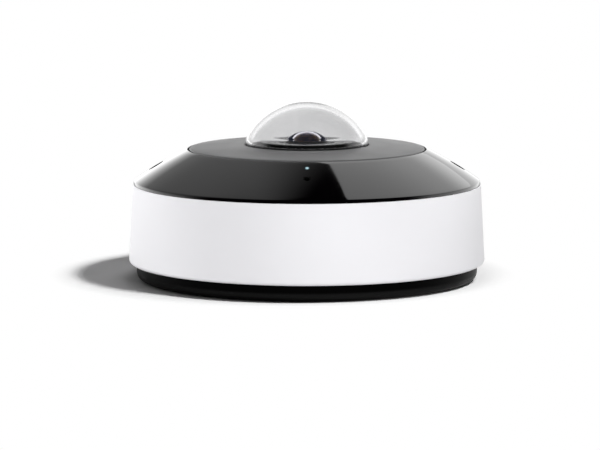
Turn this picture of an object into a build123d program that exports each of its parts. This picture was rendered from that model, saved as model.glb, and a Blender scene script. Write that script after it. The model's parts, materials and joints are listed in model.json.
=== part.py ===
from build123d import *
import math
import os

# Fisheye camera on a bayonet mounting plate. Millimetres, +Z up, front towards -Y.
# The origin is the middle of the underside.

# How far a shape runs past a face that it cuts or joins
past = 1.0

# Outside of the white shroud
body_radius = 75.0
shroud_taper = 1.8
shroud_wall = 2.4
shroud_foot_round = 1.6
shroud_bottom_z = 7.3
shroud_gap = 0.8
shroud_spigot_depth = 3.1
ledge_thickness = 2.5
ledge_width = 5.6
screw_pad_radius = 4.6

# Black base housing
ground_gap = 0.4
base_round = 3.2
base_step_cover = 1.6
base_wall_gap = 1.2
base_wall = 3.4
base_floor = 2.5
recess_depth = 6.6
base_foot_width = 14.3
cable_hole_radius = 9.0
cable_radius = 2.75
grommet_lip = 2.0
grommet_lip_thickness = 1.4
grommet_mouth_wall = 1.6
grommet_mouth_height = 3.0
gasket_inset = 2.5
gasket_width = 6.0
gasket_thickness = 1.6

# Bayonet between the base and the mounting plate
plate_thickness = 2.5
plate_edge_gap = 0.7
plate_cable_radius = 14.0
plate_hub_wall = 2.0
plate_hub_rise = 2.5
bayonet_width = 6.0
drum_wall = 3.5
tab_angle = 16.0
tab_count = 3
tab_thickness = 1.4
tab_reach = 3.5
tab_gap = 0.3
drum_gap = 0.5
stop_angle = 2.0
stop_gap_angle = 0.5
rib_count = 8
rib_width = 1.6
ceiling_screw_inset = 6.25
ceiling_screw_count = 4
ceiling_hole_radius = 2.25
box_screw_spacing = 60.0

# Boards
board_thickness = 1.6
board_standoff = 5.5
main_board_gap = 1.0
main_board_hole_radius = 15.0
main_boss_radius = 3.2
main_screw_inset = 7.0
main_screw_angle = 30.0
thin_board = 1.2

# Network jack
jack_width = 16.0
jack_length = 16.0
jack_height = 13.4
jack_start_y = 17.0
jack_wall = 1.6
plug_width = 11.8
plug_height = 8.2
plug_depth = 11.0
contact_count = 8
contact_pitch = 1.02
contact_width = 0.4
contact_thickness = 0.5
contact_reach = 6.0
contact_rise = 2.6

# Memory card and its socket
card_width = 11.0
card_length = 15.0
card_thickness = 0.8
card_proud = 3.0
card_gap = 0.15
card_ridge_width = 1.2
card_ridge_height = 0.3
card_corner = 1.5
socket_wall = 0.5
socket_side = 1.5
socket_x = -23.0
socket_start_y = 19.0
socket_length = 14.5

# Reset switch
reset_x = 26.0
reset_y = 32.0
reset_body = 6.0
reset_body_height = 3.8
reset_button_radius = 1.7
reset_button_length = 8.0
reset_travel = 0.3
reset_gap = 0.1
reset_button_bevel = 0.3
rivet_radius = 0.45
rivet_height = 0.2

# Electronics on the main board
processor_y = -34.0
processor_side = 16.0
processor_height = 1.4
pad_side = 14.0
pad_thickness = 1.5
memory_x = 19.0
memory_width = 9.0
memory_length = 7.5
memory_height = 1.0
transformer_inset = 26.0
transformer_y = -17.0
transformer_width = 13.0
transformer_length = 14.0
transformer_height = 10.0
transformer_foot = 1.5
core_side_inset = 1.0
core_end_inset = 2.5
winding_side_inset = 2.0
winding_end_inset = 0.5
winding_drop = 2.0
capacitor_radius = 4.0
capacitor_height = 9.0
capacitor_foot = 0.8
capacitor_round = 0.5
capacitor_inset = 18.0
capacitor_y = 14.0
capacitor_spacing = 9.5
connector_height = 1.2
connector_width = 3.0
connector_length = 8.0
ribbon_thickness = 0.3
ribbon_width = 6.0
ribbon_bend = 2.5
ribbon_slot_width = 2.0
ribbon_slot_margin = 1.5
sensor_connector_x = -12.0
main_connector_x = -24.0
emitter_connector_inset = 8.5
emitter_ribbon_inset = 3.0

# Chassis above the main board
chassis_headroom = 2.0
chassis_thickness = 2.0
chassis_edge_gap = 2.7
chassis_post_radius = 4.0
chassis_post_inset = 4.5
chassis_post_angle = 45.0
service_width = 62.0
service_start_y = 27.0
service_length = 19.0
boss_slot_gap = 1.0

# Cover joint
cover_gap = 1.0
seal_width = 1.8
seal_groove_depth = 1.0
seal_squeeze_gap = 0.2

# Cover screws, one at each side
screw_shank_radius = 1.5
screw_head_radius = 2.75
screw_head_height = 2.0
screw_recess_radius = 3.15
screw_inset = 9.8
screw_thread_reach = 7.0
screw_recess_rise = 1.9
screw_socket_radius = 1.3
screw_column_wall = 1.25
insert_wall = 0.9
insert_length = 8.0
boss_wall = 1.8
running_gap = 0.05
through_gap = 0.2
screw_seal_thickness = 0.6

# Conical window
window_wall = 2.2
window_lip_height = 1.4
window_lip_set_back = 0.5
cone_height = 13.2
cone_crown = 0.5
spigot_wall = 2.2
spigot_gap = 0.2
shelf_depth = 2.7
shelf_thickness = 2.2
shelf_width = 6.3

# Trim ring and dome
trim_radius = 49.5
trim_gap = 0.8
trim_proud = 0.3
trim_rise = 1.8
trim_skirt = 1.0
trim_edge_round = 0.5
dome_foot_radius = 25.8
dome_crown_bulge = 3.5
dome_rise = 17.7
dome_wall = 2.5
dome_blend = 8.0
dome_flange_width = 7.2
dome_flange = 2.0
dome_gap = 0.4
dome_seal_thickness = 0.8
dome_seal_width = 5.5
clamp_thickness = 2.2
clamp_gap = 1.1
clamp_screw_count = 6
clamp_boss_wall = 1.3
trim_screw_count = 4
trim_screw_inset = 3.0
trim_screw_cover = 1.2

# Small screws
small_shank_radius = 1.0
small_head_radius = 1.9
small_head_height = 1.2
small_thread_reach = 3.0
hole_end_gap = 0.3
screw_cover = 0.4

# Light pipe and microphone. A place is a share of the window's slope, from 0 at its top to 1 at its foot.
light_pipe_radius = 1.05
light_pipe_place = 0.1875
microphone_hole_radius = 1.0
microphone_place = 0.491
microphone_boss_reach = 0.2
microphone_boss_wall = 1.6
membrane_thickness = 0.4
membrane_inset = 0.2
boot_wall = 1.1
status_light_width = 2.0
status_light_length = 1.6
status_light_height = 0.8
microphone_width = 3.8
microphone_length = 3.0
microphone_height = 1.0
sound_hole_radius = 0.4
light_gap = 0.4
front_board_width = 16.0
front_board_edge = 2.7
front_board_length = 14.0
front_screw_x = 5.5

# Infrared emitter boards
emitter_board_rise = 6.0
emitter_board_edge = 5.2
emitter_board_width = 8.8
emitter_board_half_angle = 56.0
emitter_post_angle = 50.0
emitter_post_radius = 2.5
emitter_count = 4
emitter_step_angle = 24.0
emitter_side = 3.5
emitter_base = 1.0
emitter_lens_radius = 1.5

# Lens baffle
baffle_proud = 1.3
baffle_dome_gap = 0.8
baffle_flare_inset = 2.0
baffle_flare_height = 4.3
baffle_slant = 1.0
baffle_band = 0.2
baffle_rim_bevel = 0.5
baffle_tube_drop = 2.0
baffle_wall = 2.0
baffle_top = 2.0
baffle_groove_radius = 14.9
baffle_groove_width = 0.35
baffle_groove_depth = 0.5
baffle_slope_width = 1.9
baffle_slope_depth = 0.7
baffle_lens_gap = 0.4
baffle_tab_angles = (-90.0, 30.0, 150.0)
baffle_tab_radius = 3.0
baffle_tab_thickness = 2.0
baffle_tab_bite = 0.8
light_seal_width = 1.6
light_seal_height = 3.0
light_seal_drop = 2.4
light_seal_gap = 0.4

# Lens
lens_proud = 4.0
front_lens_radius = 9.1
front_lens_cap = 4.1
front_lens_edge = 1.0
front_hollow_radius = 6.9
front_lens_centre = 1.2
barrel_head_wall = 0.9
barrel_head_height = 8.3
barrel_neck_radius = 7.0
barrel_bore_radius = 5.2
barrel_neck_length = 11.0
barrel_bevel = 0.4
barrel_foot_gap = 0.5
second_lens_radius = 7.3
second_lens_depth = 4.7
second_lens_edge = 1.4
second_lens_cap = 2.0
second_hollow_radius = 4.2
second_hollow_depth = 1.4
rear_lens_edge = 1.2
rear_lens_cap = 1.1
rear_lens_gap = 3.2
rear_lens_start = 0.5
rear_lens_count = 2
lens_seat_gap = 0.05
lock_ring_wall = 2.5
lock_ring_height = 2.5
lock_ring_gap = 0.3
lock_notch_count = 12
lock_notch_radius = 0.7

# Lens holder, sensor and filter carriage
sensor_board_width = 34.0
sensor_board_length = 30.0
sensor_screw_x = 14.0
sensor_screw_y = 12.5
sensor_width = 10.0
sensor_length = 8.0
sensor_height = 1.6
sensor_frame = 1.0
sensor_glass_seat = 0.3
sensor_glass_thickness = 0.5
holder_width = 27.0
holder_length = 16.0
holder_base_height = 7.0
holder_opening_gap = 0.5
sensor_cavity_height = 2.4
sensor_cavity_gap = 1.5
filter_travel = 7.4
filter_thickness = 1.2
filter_length = 11.0
filter_margin = 4.3
filter_slot_gap = 0.2
filter_slot_rise = 3.0
filter_glass_side = 6.2
filter_seat = 0.3
filter_seat_edge = 0.2
filter_lip = 0.5
filter_tongue_width = 3.0
coil_width = 10.0
coil_length = 5.0
coil_height = 4.6
coil_cheek = 0.8
coil_cheek_height = 0.7

# Heights, stacked from the ground up
recess_top_z = ground_gap + recess_depth
floor_top_z = recess_top_z + base_floor
board_z = floor_top_z + board_standoff
board_top_z = board_z + board_thickness
chassis_z = board_top_z + jack_height + chassis_headroom
chassis_top_z = chassis_z + chassis_thickness
rim_z = chassis_top_z
ledge_z = rim_z + cover_gap
ledge_top_z = ledge_z + ledge_thickness
shroud_top_z = ledge_top_z + shroud_spigot_depth
cone_foot_z = shroud_top_z + window_lip_height
cone_top_z = cone_foot_z + cone_height
shelf_z = cone_top_z - shelf_depth
trim_edge_z = cone_top_z + trim_proud
trim_inner_z = trim_edge_z + trim_rise
trim_under_z = shelf_z + trim_skirt
flange_top_z = trim_under_z - dome_seal_thickness
flange_z = flange_top_z - dome_flange
clamp_z = flange_z - clamp_thickness
dome_top_z = trim_inner_z + dome_rise
dome_crown_radius = dome_foot_radius + dome_crown_bulge
dome_centre_z = dome_top_z - dome_crown_radius
baffle_top_z = trim_inner_z + baffle_proud
lens_top_z = baffle_top_z + lens_proud
emitter_board_z = chassis_top_z + emitter_board_rise
emitter_board_top_z = emitter_board_z + thin_board
front_lens_rim_z = lens_top_z - front_lens_cap
front_lens_z = front_lens_rim_z - front_lens_edge
barrel_shoulder_z = front_lens_rim_z - barrel_head_height
barrel_foot_z = barrel_shoulder_z - barrel_neck_length
lock_ring_z = barrel_shoulder_z - lock_ring_gap - lock_ring_height
second_lens_z = front_lens_z - second_lens_depth
sensor_board_z = chassis_z - board_thickness
holder_block_top_z = chassis_z + holder_base_height
filter_z = chassis_z + filter_slot_rise
screw_recess_z = shroud_top_z + screw_recess_rise

# Radii, from the outside in
shroud_top_radius = body_radius - shroud_taper
base_radius = body_radius - shroud_wall - shroud_gap
base_wall_radius = shroud_top_radius - shroud_wall - base_wall_gap
base_inner_radius = base_wall_radius - base_wall
chassis_radius = base_inner_radius - chassis_edge_gap
chassis_post_circle = chassis_radius - chassis_post_inset
main_board_radius = chassis_post_circle - chassis_post_radius - main_board_gap
main_screw_circle = main_board_radius - main_screw_inset
transformer_x = main_board_radius - transformer_inset
capacitor_x = main_board_radius - capacitor_inset
emitter_connector_x = main_board_radius - emitter_connector_inset
screw_circle = shroud_top_radius - screw_inset
screw_column_radius = screw_recess_radius + screw_column_wall
insert_radius = screw_shank_radius + running_gap + insert_wall
screw_boss_radius = insert_radius + boss_wall
seal_circle = base_wall_radius - base_wall / 2
recess_radius = base_radius - base_foot_width
gasket_inner_radius = recess_radius + gasket_inset
drum_radius = recess_radius - bayonet_width
ceiling_screw_circle = 2 * (drum_radius - drum_wall - ceiling_screw_inset)
ledge_inner_radius = shroud_top_radius - shroud_wall - ledge_width
spigot_radius = shroud_top_radius - shroud_wall - spigot_gap
cone_foot_radius = shroud_top_radius - window_lip_set_back
cone_top_radius = trim_radius + trim_gap
shelf_inner_radius = cone_top_radius - shelf_width
trim_inner_radius = dome_foot_radius + dome_gap
dome_inner_radius = dome_foot_radius - dome_wall
dome_flange_radius = dome_foot_radius + dome_flange_width
clamp_radius = shelf_inner_radius - clamp_gap
clamp_screw_circle = (dome_flange_radius + clamp_radius) / 2
clamp_boss_radius = small_shank_radius + running_gap + clamp_boss_wall
trim_screw_circle = trim_radius - trim_screw_inset
plate_radius = recess_radius - plate_edge_gap
emitter_board_radius = chassis_radius - emitter_board_edge
emitter_board_inner_radius = emitter_board_radius - emitter_board_width
emitter_circle = emitter_board_inner_radius + emitter_board_width / 2
emitter_ribbon_x = emitter_board_inner_radius + emitter_ribbon_inset
barrel_head_radius = front_lens_radius + lens_seat_gap + barrel_head_wall
light_seal_radius = dome_inner_radius - light_seal_gap
baffle_tube_radius = light_seal_radius - light_seal_width
baffle_flare_radius = dome_inner_radius - baffle_dome_gap
baffle_rim_radius = baffle_flare_radius - baffle_flare_inset
baffle_hole_radius = barrel_head_radius + baffle_lens_gap
cone_width = cone_foot_radius - cone_top_radius
light_pipe_y = -(cone_top_radius + cone_width * light_pipe_place)
microphone_y = -(cone_top_radius + cone_width * microphone_place)
microphone_boss_radius = microphone_hole_radius + microphone_boss_wall
front_board_outer_y = microphone_y - front_board_edge
front_board_middle_y = front_board_outer_y + front_board_length / 2


def rod(radius, low, high, x=0.0, y=0.0):
    """An upright cylinder between two heights."""
    shape = Cylinder(radius, high - low, align=(Align.CENTER, Align.CENTER, Align.MIN))
    return Pos(x, y, low) * shape


def ring(inner, outer, low, high, x=0.0, y=0.0):
    """An upright tube between two heights."""
    return rod(outer, low, high, x, y) - rod(inner, low - past, high + past, x, y)


def block(width, length, low, high, x=0.0, y=0.0):
    """A box between two heights, centred on x and y."""
    shape = Box(width, length, high - low, align=(Align.CENTER, Align.CENTER, Align.MIN))
    return Pos(x, y, low) * shape


def turned(*outline):
    """A solid of revolution about Z from radius and height pairs."""
    face = make_face(Polyline(*outline, close=True))
    return revolve(Plane.XZ * face, Axis.Z)


def on_circle(radius, angle):
    """The x and y of a place on a circle, with the angle in degrees from +X."""
    turn = math.radians(angle)
    return radius * math.cos(turn), radius * math.sin(turn)


def evenly(count, first=0.0):
    """Angles spread evenly round a circle."""
    return [first + 360.0 * index / count for index in range(count)]


def sector(inner, outer, low, high, start_angle, sweep):
    """A piece of an upright ring, from a start angle and through a sweep in degrees."""
    face = make_face(Polyline((inner, low), (outer, low), (outer, high), (inner, high), close=True))
    return Rot(0, 0, start_angle) * revolve(Plane.XZ * face, Axis.Z, sweep)


def group(shapes):
    """Separate solids in one node."""
    return Compound(children=list(shapes))


def small_screw(x, y, seat_z, up=False, reach=small_thread_reach):
    """A small pan-head screw whose head sits on a face at seat_z. Its shank goes down, or up."""
    side = -1 if up else 1
    tip_z = seat_z - side * reach
    head_z = seat_z + side * small_head_height
    shank = rod(small_shank_radius, min(tip_z, seat_z), max(tip_z, seat_z), x, y)
    head = rod(small_head_radius, min(seat_z, head_z), max(seat_z, head_z), x, y)
    slot_z = head_z - side * small_head_height / 2
    slot = block(2 * small_head_radius, screw_cover, min(slot_z, head_z), max(slot_z, head_z), x, y)
    return shank + head - slot


def shank_hole(x, y, low, high):
    """The hole that a small screw's shank sits in."""
    return rod(small_shank_radius + running_gap, low, high, x, y)


def chassis_post_places():
    return [on_circle(chassis_post_circle, angle) for angle in evenly(4, chassis_post_angle)]


def main_screw_places():
    angles = (main_screw_angle, 180 - main_screw_angle, 180 + main_screw_angle, -main_screw_angle)
    return [on_circle(main_screw_circle, angle) for angle in angles]


def cover_screw_places():
    return [(-screw_circle, 0.0), (screw_circle, 0.0)]


def sensor_screw_places():
    return [(x, y) for x in (-sensor_screw_x, sensor_screw_x) for y in (-sensor_screw_y, sensor_screw_y)]


def emitter_post_places(side_angle):
    angles = (side_angle - emitter_post_angle, side_angle + emitter_post_angle)
    return [on_circle(emitter_circle, angle) for angle in angles]


def front_screw_places():
    return [(-front_screw_x, front_board_middle_y), (front_screw_x, front_board_middle_y)]


def baffle_tab_places():
    circle = baffle_tube_radius + baffle_tab_radius - baffle_tab_bite
    return [on_circle(circle, angle) for angle in baffle_tab_angles]


# Body of the base


def base_shell():
    """The turned bowl: skirt with a rounded foot, floor, wall and rim."""
    bottom = ground_gap
    step_z = shroud_bottom_z + base_step_cover
    shell = turned(
        (0, recess_top_z),
        (recess_radius, recess_top_z),
        (recess_radius, bottom),
        (base_radius, bottom),
        (base_radius, step_z),
        (base_wall_radius, step_z),
        (base_wall_radius, rim_z),
        (base_inner_radius, rim_z),
        (base_inner_radius, floor_top_z),
        (0, floor_top_z),
    )
    foot = shell.edges().filter_by(GeomType.CIRCLE).filter_by(
        lambda edge: abs(edge.radius - base_radius) < 0.01 and edge.center().Z < bottom + 0.01
    )
    return fillet(foot, base_round)


def bayonet_tabs_of_base():
    low = plate_thickness + drum_gap
    inner = drum_radius + drum_gap
    outer = recess_radius + past
    shapes = []
    for angle in evenly(tab_count, 90 - tab_angle / 2):
        shapes.append(sector(inner, outer, low, low + tab_thickness, angle, tab_angle))
        stop_start = angle + tab_angle + stop_gap_angle
        shapes.append(sector(inner, outer, low, recess_top_z + past, stop_start, stop_angle))
    return shapes


def base_housing():
    shape = base_shell()
    for tab in bayonet_tabs_of_base():
        shape += tab
    for x, y in chassis_post_places():
        shape += rod(chassis_post_radius, floor_top_z - past, chassis_z, x, y)
    for x, y in main_screw_places():
        shape += rod(main_boss_radius, floor_top_z - past, board_z, x, y)
    for x, y in cover_screw_places():
        shape += rod(screw_boss_radius, floor_top_z - past, rim_z, x, y)
    for x, y in chassis_post_places():
        shape -= shank_hole(x, y, chassis_z - 2 * small_thread_reach, chassis_z + past)
    for x, y in main_screw_places():
        shape -= shank_hole(x, y, board_z - small_thread_reach, board_z + past)
    for x, y in cover_screw_places():
        shape -= rod(insert_radius, rim_z - insert_length, rim_z + past, x, y)
        shape -= rod(screw_shank_radius + through_gap, rim_z - insert_length - 2 * past, rim_z, x, y)
    groove_low = rim_z - seal_groove_depth
    shape -= ring(seal_circle - seal_width / 2, seal_circle + seal_width / 2, groove_low, rim_z + past)
    shape -= ring(gasket_inner_radius, gasket_inner_radius + gasket_width, -past, gasket_thickness)
    shape -= rod(cable_hole_radius, 0, floor_top_z + past)
    return shape


def ceiling_gasket():
    return ring(gasket_inner_radius, gasket_inner_radius + gasket_width, 0, gasket_thickness)


def cover_seal():
    low = rim_z - seal_groove_depth
    high = ledge_z - seal_squeeze_gap
    return ring(seal_circle - seal_width / 2, seal_circle + seal_width / 2, low, high)


def threaded_inserts():
    bore = screw_shank_radius + running_gap
    low = rim_z - insert_length
    return group(ring(bore, insert_radius, low, rim_z, x, y) for x, y in cover_screw_places())


def cable_grommet():
    """A rubber grommet with a lip above and below the floor and a tapered cable mouth."""
    neck = cable_hole_radius
    lip = neck + grommet_lip
    bottom = recess_top_z - grommet_lip_thickness
    return turned(
        (cable_radius, bottom),
        (lip, bottom),
        (lip, recess_top_z),
        (neck, recess_top_z),
        (neck, floor_top_z),
        (lip, floor_top_z),
        (lip, floor_top_z + grommet_lip_thickness),
        (cable_radius + grommet_mouth_wall, floor_top_z + grommet_mouth_height),
        (cable_radius, floor_top_z + grommet_mouth_height),
    )


# Mounting plate


def plate_tabs():
    low = plate_thickness + drum_gap + tab_thickness + tab_gap
    inner = drum_radius - past
    outer = drum_radius + tab_reach
    angles = evenly(tab_count, 90 - tab_angle / 2)
    return [sector(inner, outer, low, low + tab_thickness, angle, tab_angle) for angle in angles]


def mounting_plate():
    top = plate_thickness + drum_gap + tab_thickness + tab_gap + tab_thickness
    shape = rod(plate_radius, 0, plate_thickness)
    shape += ring(drum_radius - drum_wall, drum_radius, 0, top)
    shape += rod(plate_cable_radius + plate_hub_wall, 0, plate_thickness + plate_hub_rise)
    rib_start = plate_cable_radius + plate_hub_wall / 2
    rib_end = drum_radius - drum_wall / 2
    rib_top = plate_thickness + plate_hub_rise
    rib = block(rib_end - rib_start, rib_width, 0, rib_top, (rib_start + rib_end) / 2)
    for angle in evenly(rib_count, 180 / rib_count):
        shape += Rot(0, 0, angle) * rib
    for tab in plate_tabs():
        shape += tab
    shape -= rod(plate_cable_radius, -past, top)
    for angle in evenly(ceiling_screw_count, 45):
        x, y = on_circle(ceiling_screw_circle / 2, angle)
        shape -= rod(ceiling_hole_radius, -past, top, x, y)
    for x in (-box_screw_spacing / 2, box_screw_spacing / 2):
        shape -= rod(ceiling_hole_radius, -past, top, x, 0)
    return shape


# Main board and what stands on it


def main_board():
    shape = ring(main_board_hole_radius, main_board_radius, board_z, board_top_z)
    for x, y in main_screw_places():
        shape -= shank_hole(x, y, board_z - past, board_top_z + past)
    return shape


def main_board_screws():
    reach = board_thickness + small_thread_reach - screw_cover
    return group(small_screw(x, y, board_top_z, reach=reach) for x, y in main_screw_places())


def network_jack():
    """A jack whose mouth faces the cable hole, so that the plug goes in from the middle of the board."""
    middle_y = jack_start_y + jack_length / 2
    shape = block(jack_width, jack_length, board_top_z, board_top_z + jack_height, y=middle_y)
    mouth_low = board_top_z + jack_wall
    cavity_y = jack_start_y + (plug_depth - past) / 2
    shape -= block(plug_width, plug_depth + past, mouth_low, mouth_low + plug_height, y=cavity_y)
    latch_high = mouth_low + plug_height + jack_wall
    latch_y = jack_start_y + plug_depth / 4
    shape -= block(plug_width / 2, plug_depth / 2 + past, mouth_low + past, latch_high, y=latch_y)
    return shape


def jack_contacts():
    """Sprung contacts that slope down into the mouth from its back wall."""
    back_y = jack_start_y + plug_depth
    foot_z = board_top_z + jack_wall
    tip_y = back_y - contact_reach
    tip_z = foot_z + contact_rise
    outline = (
        (back_y, foot_z),
        (back_y, foot_z + contact_thickness),
        (tip_y + contact_thickness, tip_z),
        (tip_y, tip_z),
        (tip_y, tip_z - contact_thickness),
        (back_y - contact_thickness, foot_z),
    )
    face = make_face(Polyline(*outline, close=True))
    contact = extrude(Plane.YZ * face, contact_width / 2, both=True)
    first_x = -contact_pitch * (contact_count - 1) / 2
    return group(Pos(first_x + contact_pitch * index, 0, 0) * contact for index in range(contact_count))


def card_low_z():
    return board_top_z + socket_wall + card_gap


def card_socket():
    width = card_width + 2 * socket_side
    middle_y = socket_start_y + socket_length / 2
    top = card_low_z() + card_thickness + card_gap + socket_wall
    shape = block(width, socket_length, board_top_z, top, socket_x, middle_y)
    slot_y = socket_start_y + socket_side + socket_length / 2
    low = card_low_z() - card_gap
    high = card_low_z() + card_thickness + card_gap
    return shape - block(card_width + 2 * card_gap, socket_length, low, high, socket_x, slot_y)


def memory_card():
    """The card at rest in its socket, with a clipped corner and a finger ridge at its back end."""
    end_y = socket_start_y + socket_length + card_proud
    middle_y = end_y - card_length / 2
    low = card_low_z()
    shape = block(card_width, card_length, low, low + card_thickness, socket_x, middle_y)
    ridge_top = low + card_thickness + card_ridge_height
    shape += block(card_width, card_ridge_width, low, ridge_top, socket_x, end_y - card_ridge_width / 2)
    corner = block(2 * card_corner, 2 * card_corner, low - past, ridge_top + past)
    return shape - Pos(socket_x + card_width / 2, end_y - card_length) * corner


def reset_switch():
    top = board_top_z + reset_body_height
    shape = block(reset_body, reset_body, board_top_z, top, reset_x, reset_y)
    for side_x in (-1, 1):
        for side_y in (-1, 1):
            x = reset_x + side_x * reset_body / 3
            y = reset_y + side_y * reset_body / 3
            shape += rod(rivet_radius, top, top + rivet_height, x, y)
    well = reset_button_radius + reset_gap
    return shape - rod(well, top - 2 * reset_travel - reset_gap, top + past, reset_x, reset_y)


def reset_button():
    foot = board_top_z + reset_body_height - reset_travel
    shape = rod(reset_button_radius, foot, foot + reset_button_length, reset_x, reset_y)
    return chamfer(shape.edges().sort_by(Axis.Z)[-1], reset_button_bevel)


def processor():
    top = board_top_z + processor_height
    return block(processor_side, processor_side, board_top_z, top, y=processor_y)


def thermal_pad():
    low = board_top_z + processor_height
    return block(pad_side, pad_side, low, low + pad_thickness, y=processor_y)


def memory_chips():
    top = board_top_z + memory_height
    places = (-memory_x, memory_x)
    return group(block(memory_width, memory_length, board_top_z, top, x, processor_y) for x in places)


def supply_transformer():
    """A winding between two yokes, on a pinned foot."""
    x, y = transformer_x, transformer_y
    top = board_top_z + transformer_height
    foot_top = board_top_z + transformer_foot
    foot = block(transformer_width, transformer_length, board_top_z, foot_top, x, y)
    core_width = transformer_width - 2 * core_side_inset
    core = block(core_width, transformer_length - 2 * core_end_inset, foot_top, top, x, y)
    winding_width = transformer_width - 2 * winding_side_inset
    winding_length = transformer_length - 2 * winding_end_inset
    winding = block(winding_width, winding_length, foot_top, top - winding_drop, x, y)
    return foot + core + winding


def capacitor_places():
    second_x = capacitor_x - capacitor_spacing
    return ((capacitor_x, capacitor_y), (second_x, capacitor_y), (-capacitor_x, -capacitor_y))


def capacitors():
    foot_top = board_top_z + capacitor_foot
    width = 2 * capacitor_radius
    shapes = []
    for x, y in capacitor_places():
        can = rod(capacitor_radius, foot_top, board_top_z + capacitor_height, x, y)
        can = fillet(can.edges().sort_by(Axis.Z)[-1], capacitor_round)
        shapes.append(can + block(width, width, board_top_z, foot_top, x, y))
    return group(shapes)


def upright_ribbon(route):
    """A flat ribbon along a route of x and height pairs, as wide as its connector allows."""
    line = FilletPolyline(*route, radius=ribbon_bend)
    return extrude(Plane.XZ * trace(line, ribbon_thickness), ribbon_width / 2, both=True)


def connector(x, low, high):
    return block(connector_width, connector_length, low, high, x)


def ribbon_connectors():
    """The sockets that the ribbons plug into: on the main board, the sensor board and the emitter boards."""
    main_places = (main_connector_x, -emitter_connector_x, emitter_connector_x)
    shapes = [connector(x, board_top_z, board_top_z + connector_height) for x in main_places]
    shapes.append(connector(sensor_connector_x, sensor_board_z - connector_height, sensor_board_z))
    for x in (-emitter_ribbon_x, emitter_ribbon_x):
        shapes.append(connector(x, emitter_board_z - connector_height, emitter_board_z))
    return group(shapes)


def stepped_route(low_x, low_z, high_x, high_z):
    middle_z = (low_z + high_z) / 2
    return (low_x, low_z), (low_x, middle_z), (high_x, middle_z), (high_x, high_z)


def sensor_ribbon():
    low = board_top_z + connector_height
    high = sensor_board_z - connector_height
    return upright_ribbon(stepped_route(main_connector_x, low, sensor_connector_x, high))


def emitter_ribbons():
    low = board_top_z + connector_height
    high = emitter_board_z - connector_height
    right = upright_ribbon(stepped_route(emitter_connector_x, low, emitter_ribbon_x, high))
    return group((right, Rot(0, 0, 180) * right))


# Chassis, sensor and lens holder


def chassis():
    shape = rod(chassis_radius, chassis_z, chassis_top_z)
    pad_top_z = board_top_z + processor_height + pad_thickness
    shape += block(pad_side, pad_side, pad_top_z, chassis_z + past, y=processor_y)
    for side_angle in (0, 180):
        for x, y in emitter_post_places(side_angle):
            shape += rod(emitter_post_radius, chassis_z, emitter_board_z, x, y)
            shape -= shank_hole(x, y, emitter_board_z - small_thread_reach, emitter_board_z + past)
    for x, y in front_screw_places():
        shape += rod(emitter_post_radius, chassis_z, emitter_board_z, x, y)
        shape -= shank_hole(x, y, emitter_board_z - small_thread_reach, emitter_board_z + past)
    opening_width = holder_width + 2 * holder_opening_gap
    opening_length = holder_length + 2 * holder_opening_gap
    shape -= block(opening_width, opening_length, chassis_z - past, chassis_top_z + past)
    service_y = service_start_y + service_length / 2
    shape -= block(service_width, service_length, chassis_z - past, chassis_top_z + past, y=service_y)
    for x, y in cover_screw_places():
        shape -= rod(screw_boss_radius + boss_slot_gap, chassis_z - past, chassis_top_z + past, x, y)
    slot_length = ribbon_width + 2 * ribbon_slot_margin
    for x in (-emitter_ribbon_x, emitter_ribbon_x):
        shape -= block(ribbon_slot_width, slot_length, chassis_z - past, chassis_top_z + past, x)
    for x, y in chassis_post_places() + sensor_screw_places() + baffle_tab_places():
        shape -= shank_hole(x, y, chassis_z - past, chassis_top_z + past)
    return shape


def chassis_screws():
    reach = chassis_thickness + small_thread_reach
    return group(small_screw(x, y, chassis_top_z, reach=reach) for x, y in chassis_post_places())


def sensor_board():
    low = sensor_board_z
    shape = block(sensor_board_width, sensor_board_length, low, chassis_z)
    for x, y in sensor_screw_places():
        shape -= shank_hole(x, y, low - past, chassis_z + past)
    return shape


def sensor_board_screws():
    reach = board_thickness + chassis_thickness - screw_cover
    return group(small_screw(x, y, sensor_board_z, up=True, reach=reach) for x, y in sensor_screw_places())


def sensor_glass_size():
    return sensor_width - 2 * sensor_frame, sensor_length - 2 * sensor_frame


def image_sensor():
    top = chassis_z + sensor_height
    body = block(sensor_width, sensor_length, chassis_z, top)
    glass_width, glass_length = sensor_glass_size()
    return body - block(glass_width, glass_length, top - sensor_glass_seat, top + past)


def sensor_cover_glass():
    low = chassis_z + sensor_height - sensor_glass_seat
    glass_width, glass_length = sensor_glass_size()
    return block(glass_width, glass_length, low, low + sensor_glass_thickness)


def filter_carriage_end_x():
    """The x of the carriage's right end at rest, past its second glass."""
    return filter_margin + filter_travel


def lens_holder():
    neck_outer = barrel_neck_radius + running_gap + lock_ring_wall - lock_ring_gap
    shape = block(holder_width, holder_length, chassis_z, holder_block_top_z)
    shape += rod(neck_outer, holder_block_top_z, lock_ring_z - running_gap)
    shape -= rod(barrel_neck_radius + running_gap, barrel_foot_z - barrel_foot_gap, lock_ring_z + past)
    shape -= rod(barrel_bore_radius, filter_z, barrel_foot_z)
    cavity_width = sensor_width + 2 * sensor_cavity_gap
    cavity_length = sensor_length + 2 * sensor_cavity_gap
    shape -= block(cavity_width, cavity_length, chassis_z - past, chassis_z + sensor_cavity_height)
    shape -= block(filter_glass_side, filter_glass_side, chassis_z, filter_z)
    low = filter_z - filter_slot_gap
    high = filter_z + filter_thickness + filter_slot_gap
    slot_reach = filter_carriage_end_x() + filter_slot_gap
    shape -= block(2 * slot_reach, filter_length + 2 * filter_slot_gap, low, high)
    tongue_width = filter_tongue_width + filter_travel + 2 * filter_slot_gap
    shape -= block(tongue_width, holder_length, low, high, -filter_travel / 2, holder_length / 2)
    return shape


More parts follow.
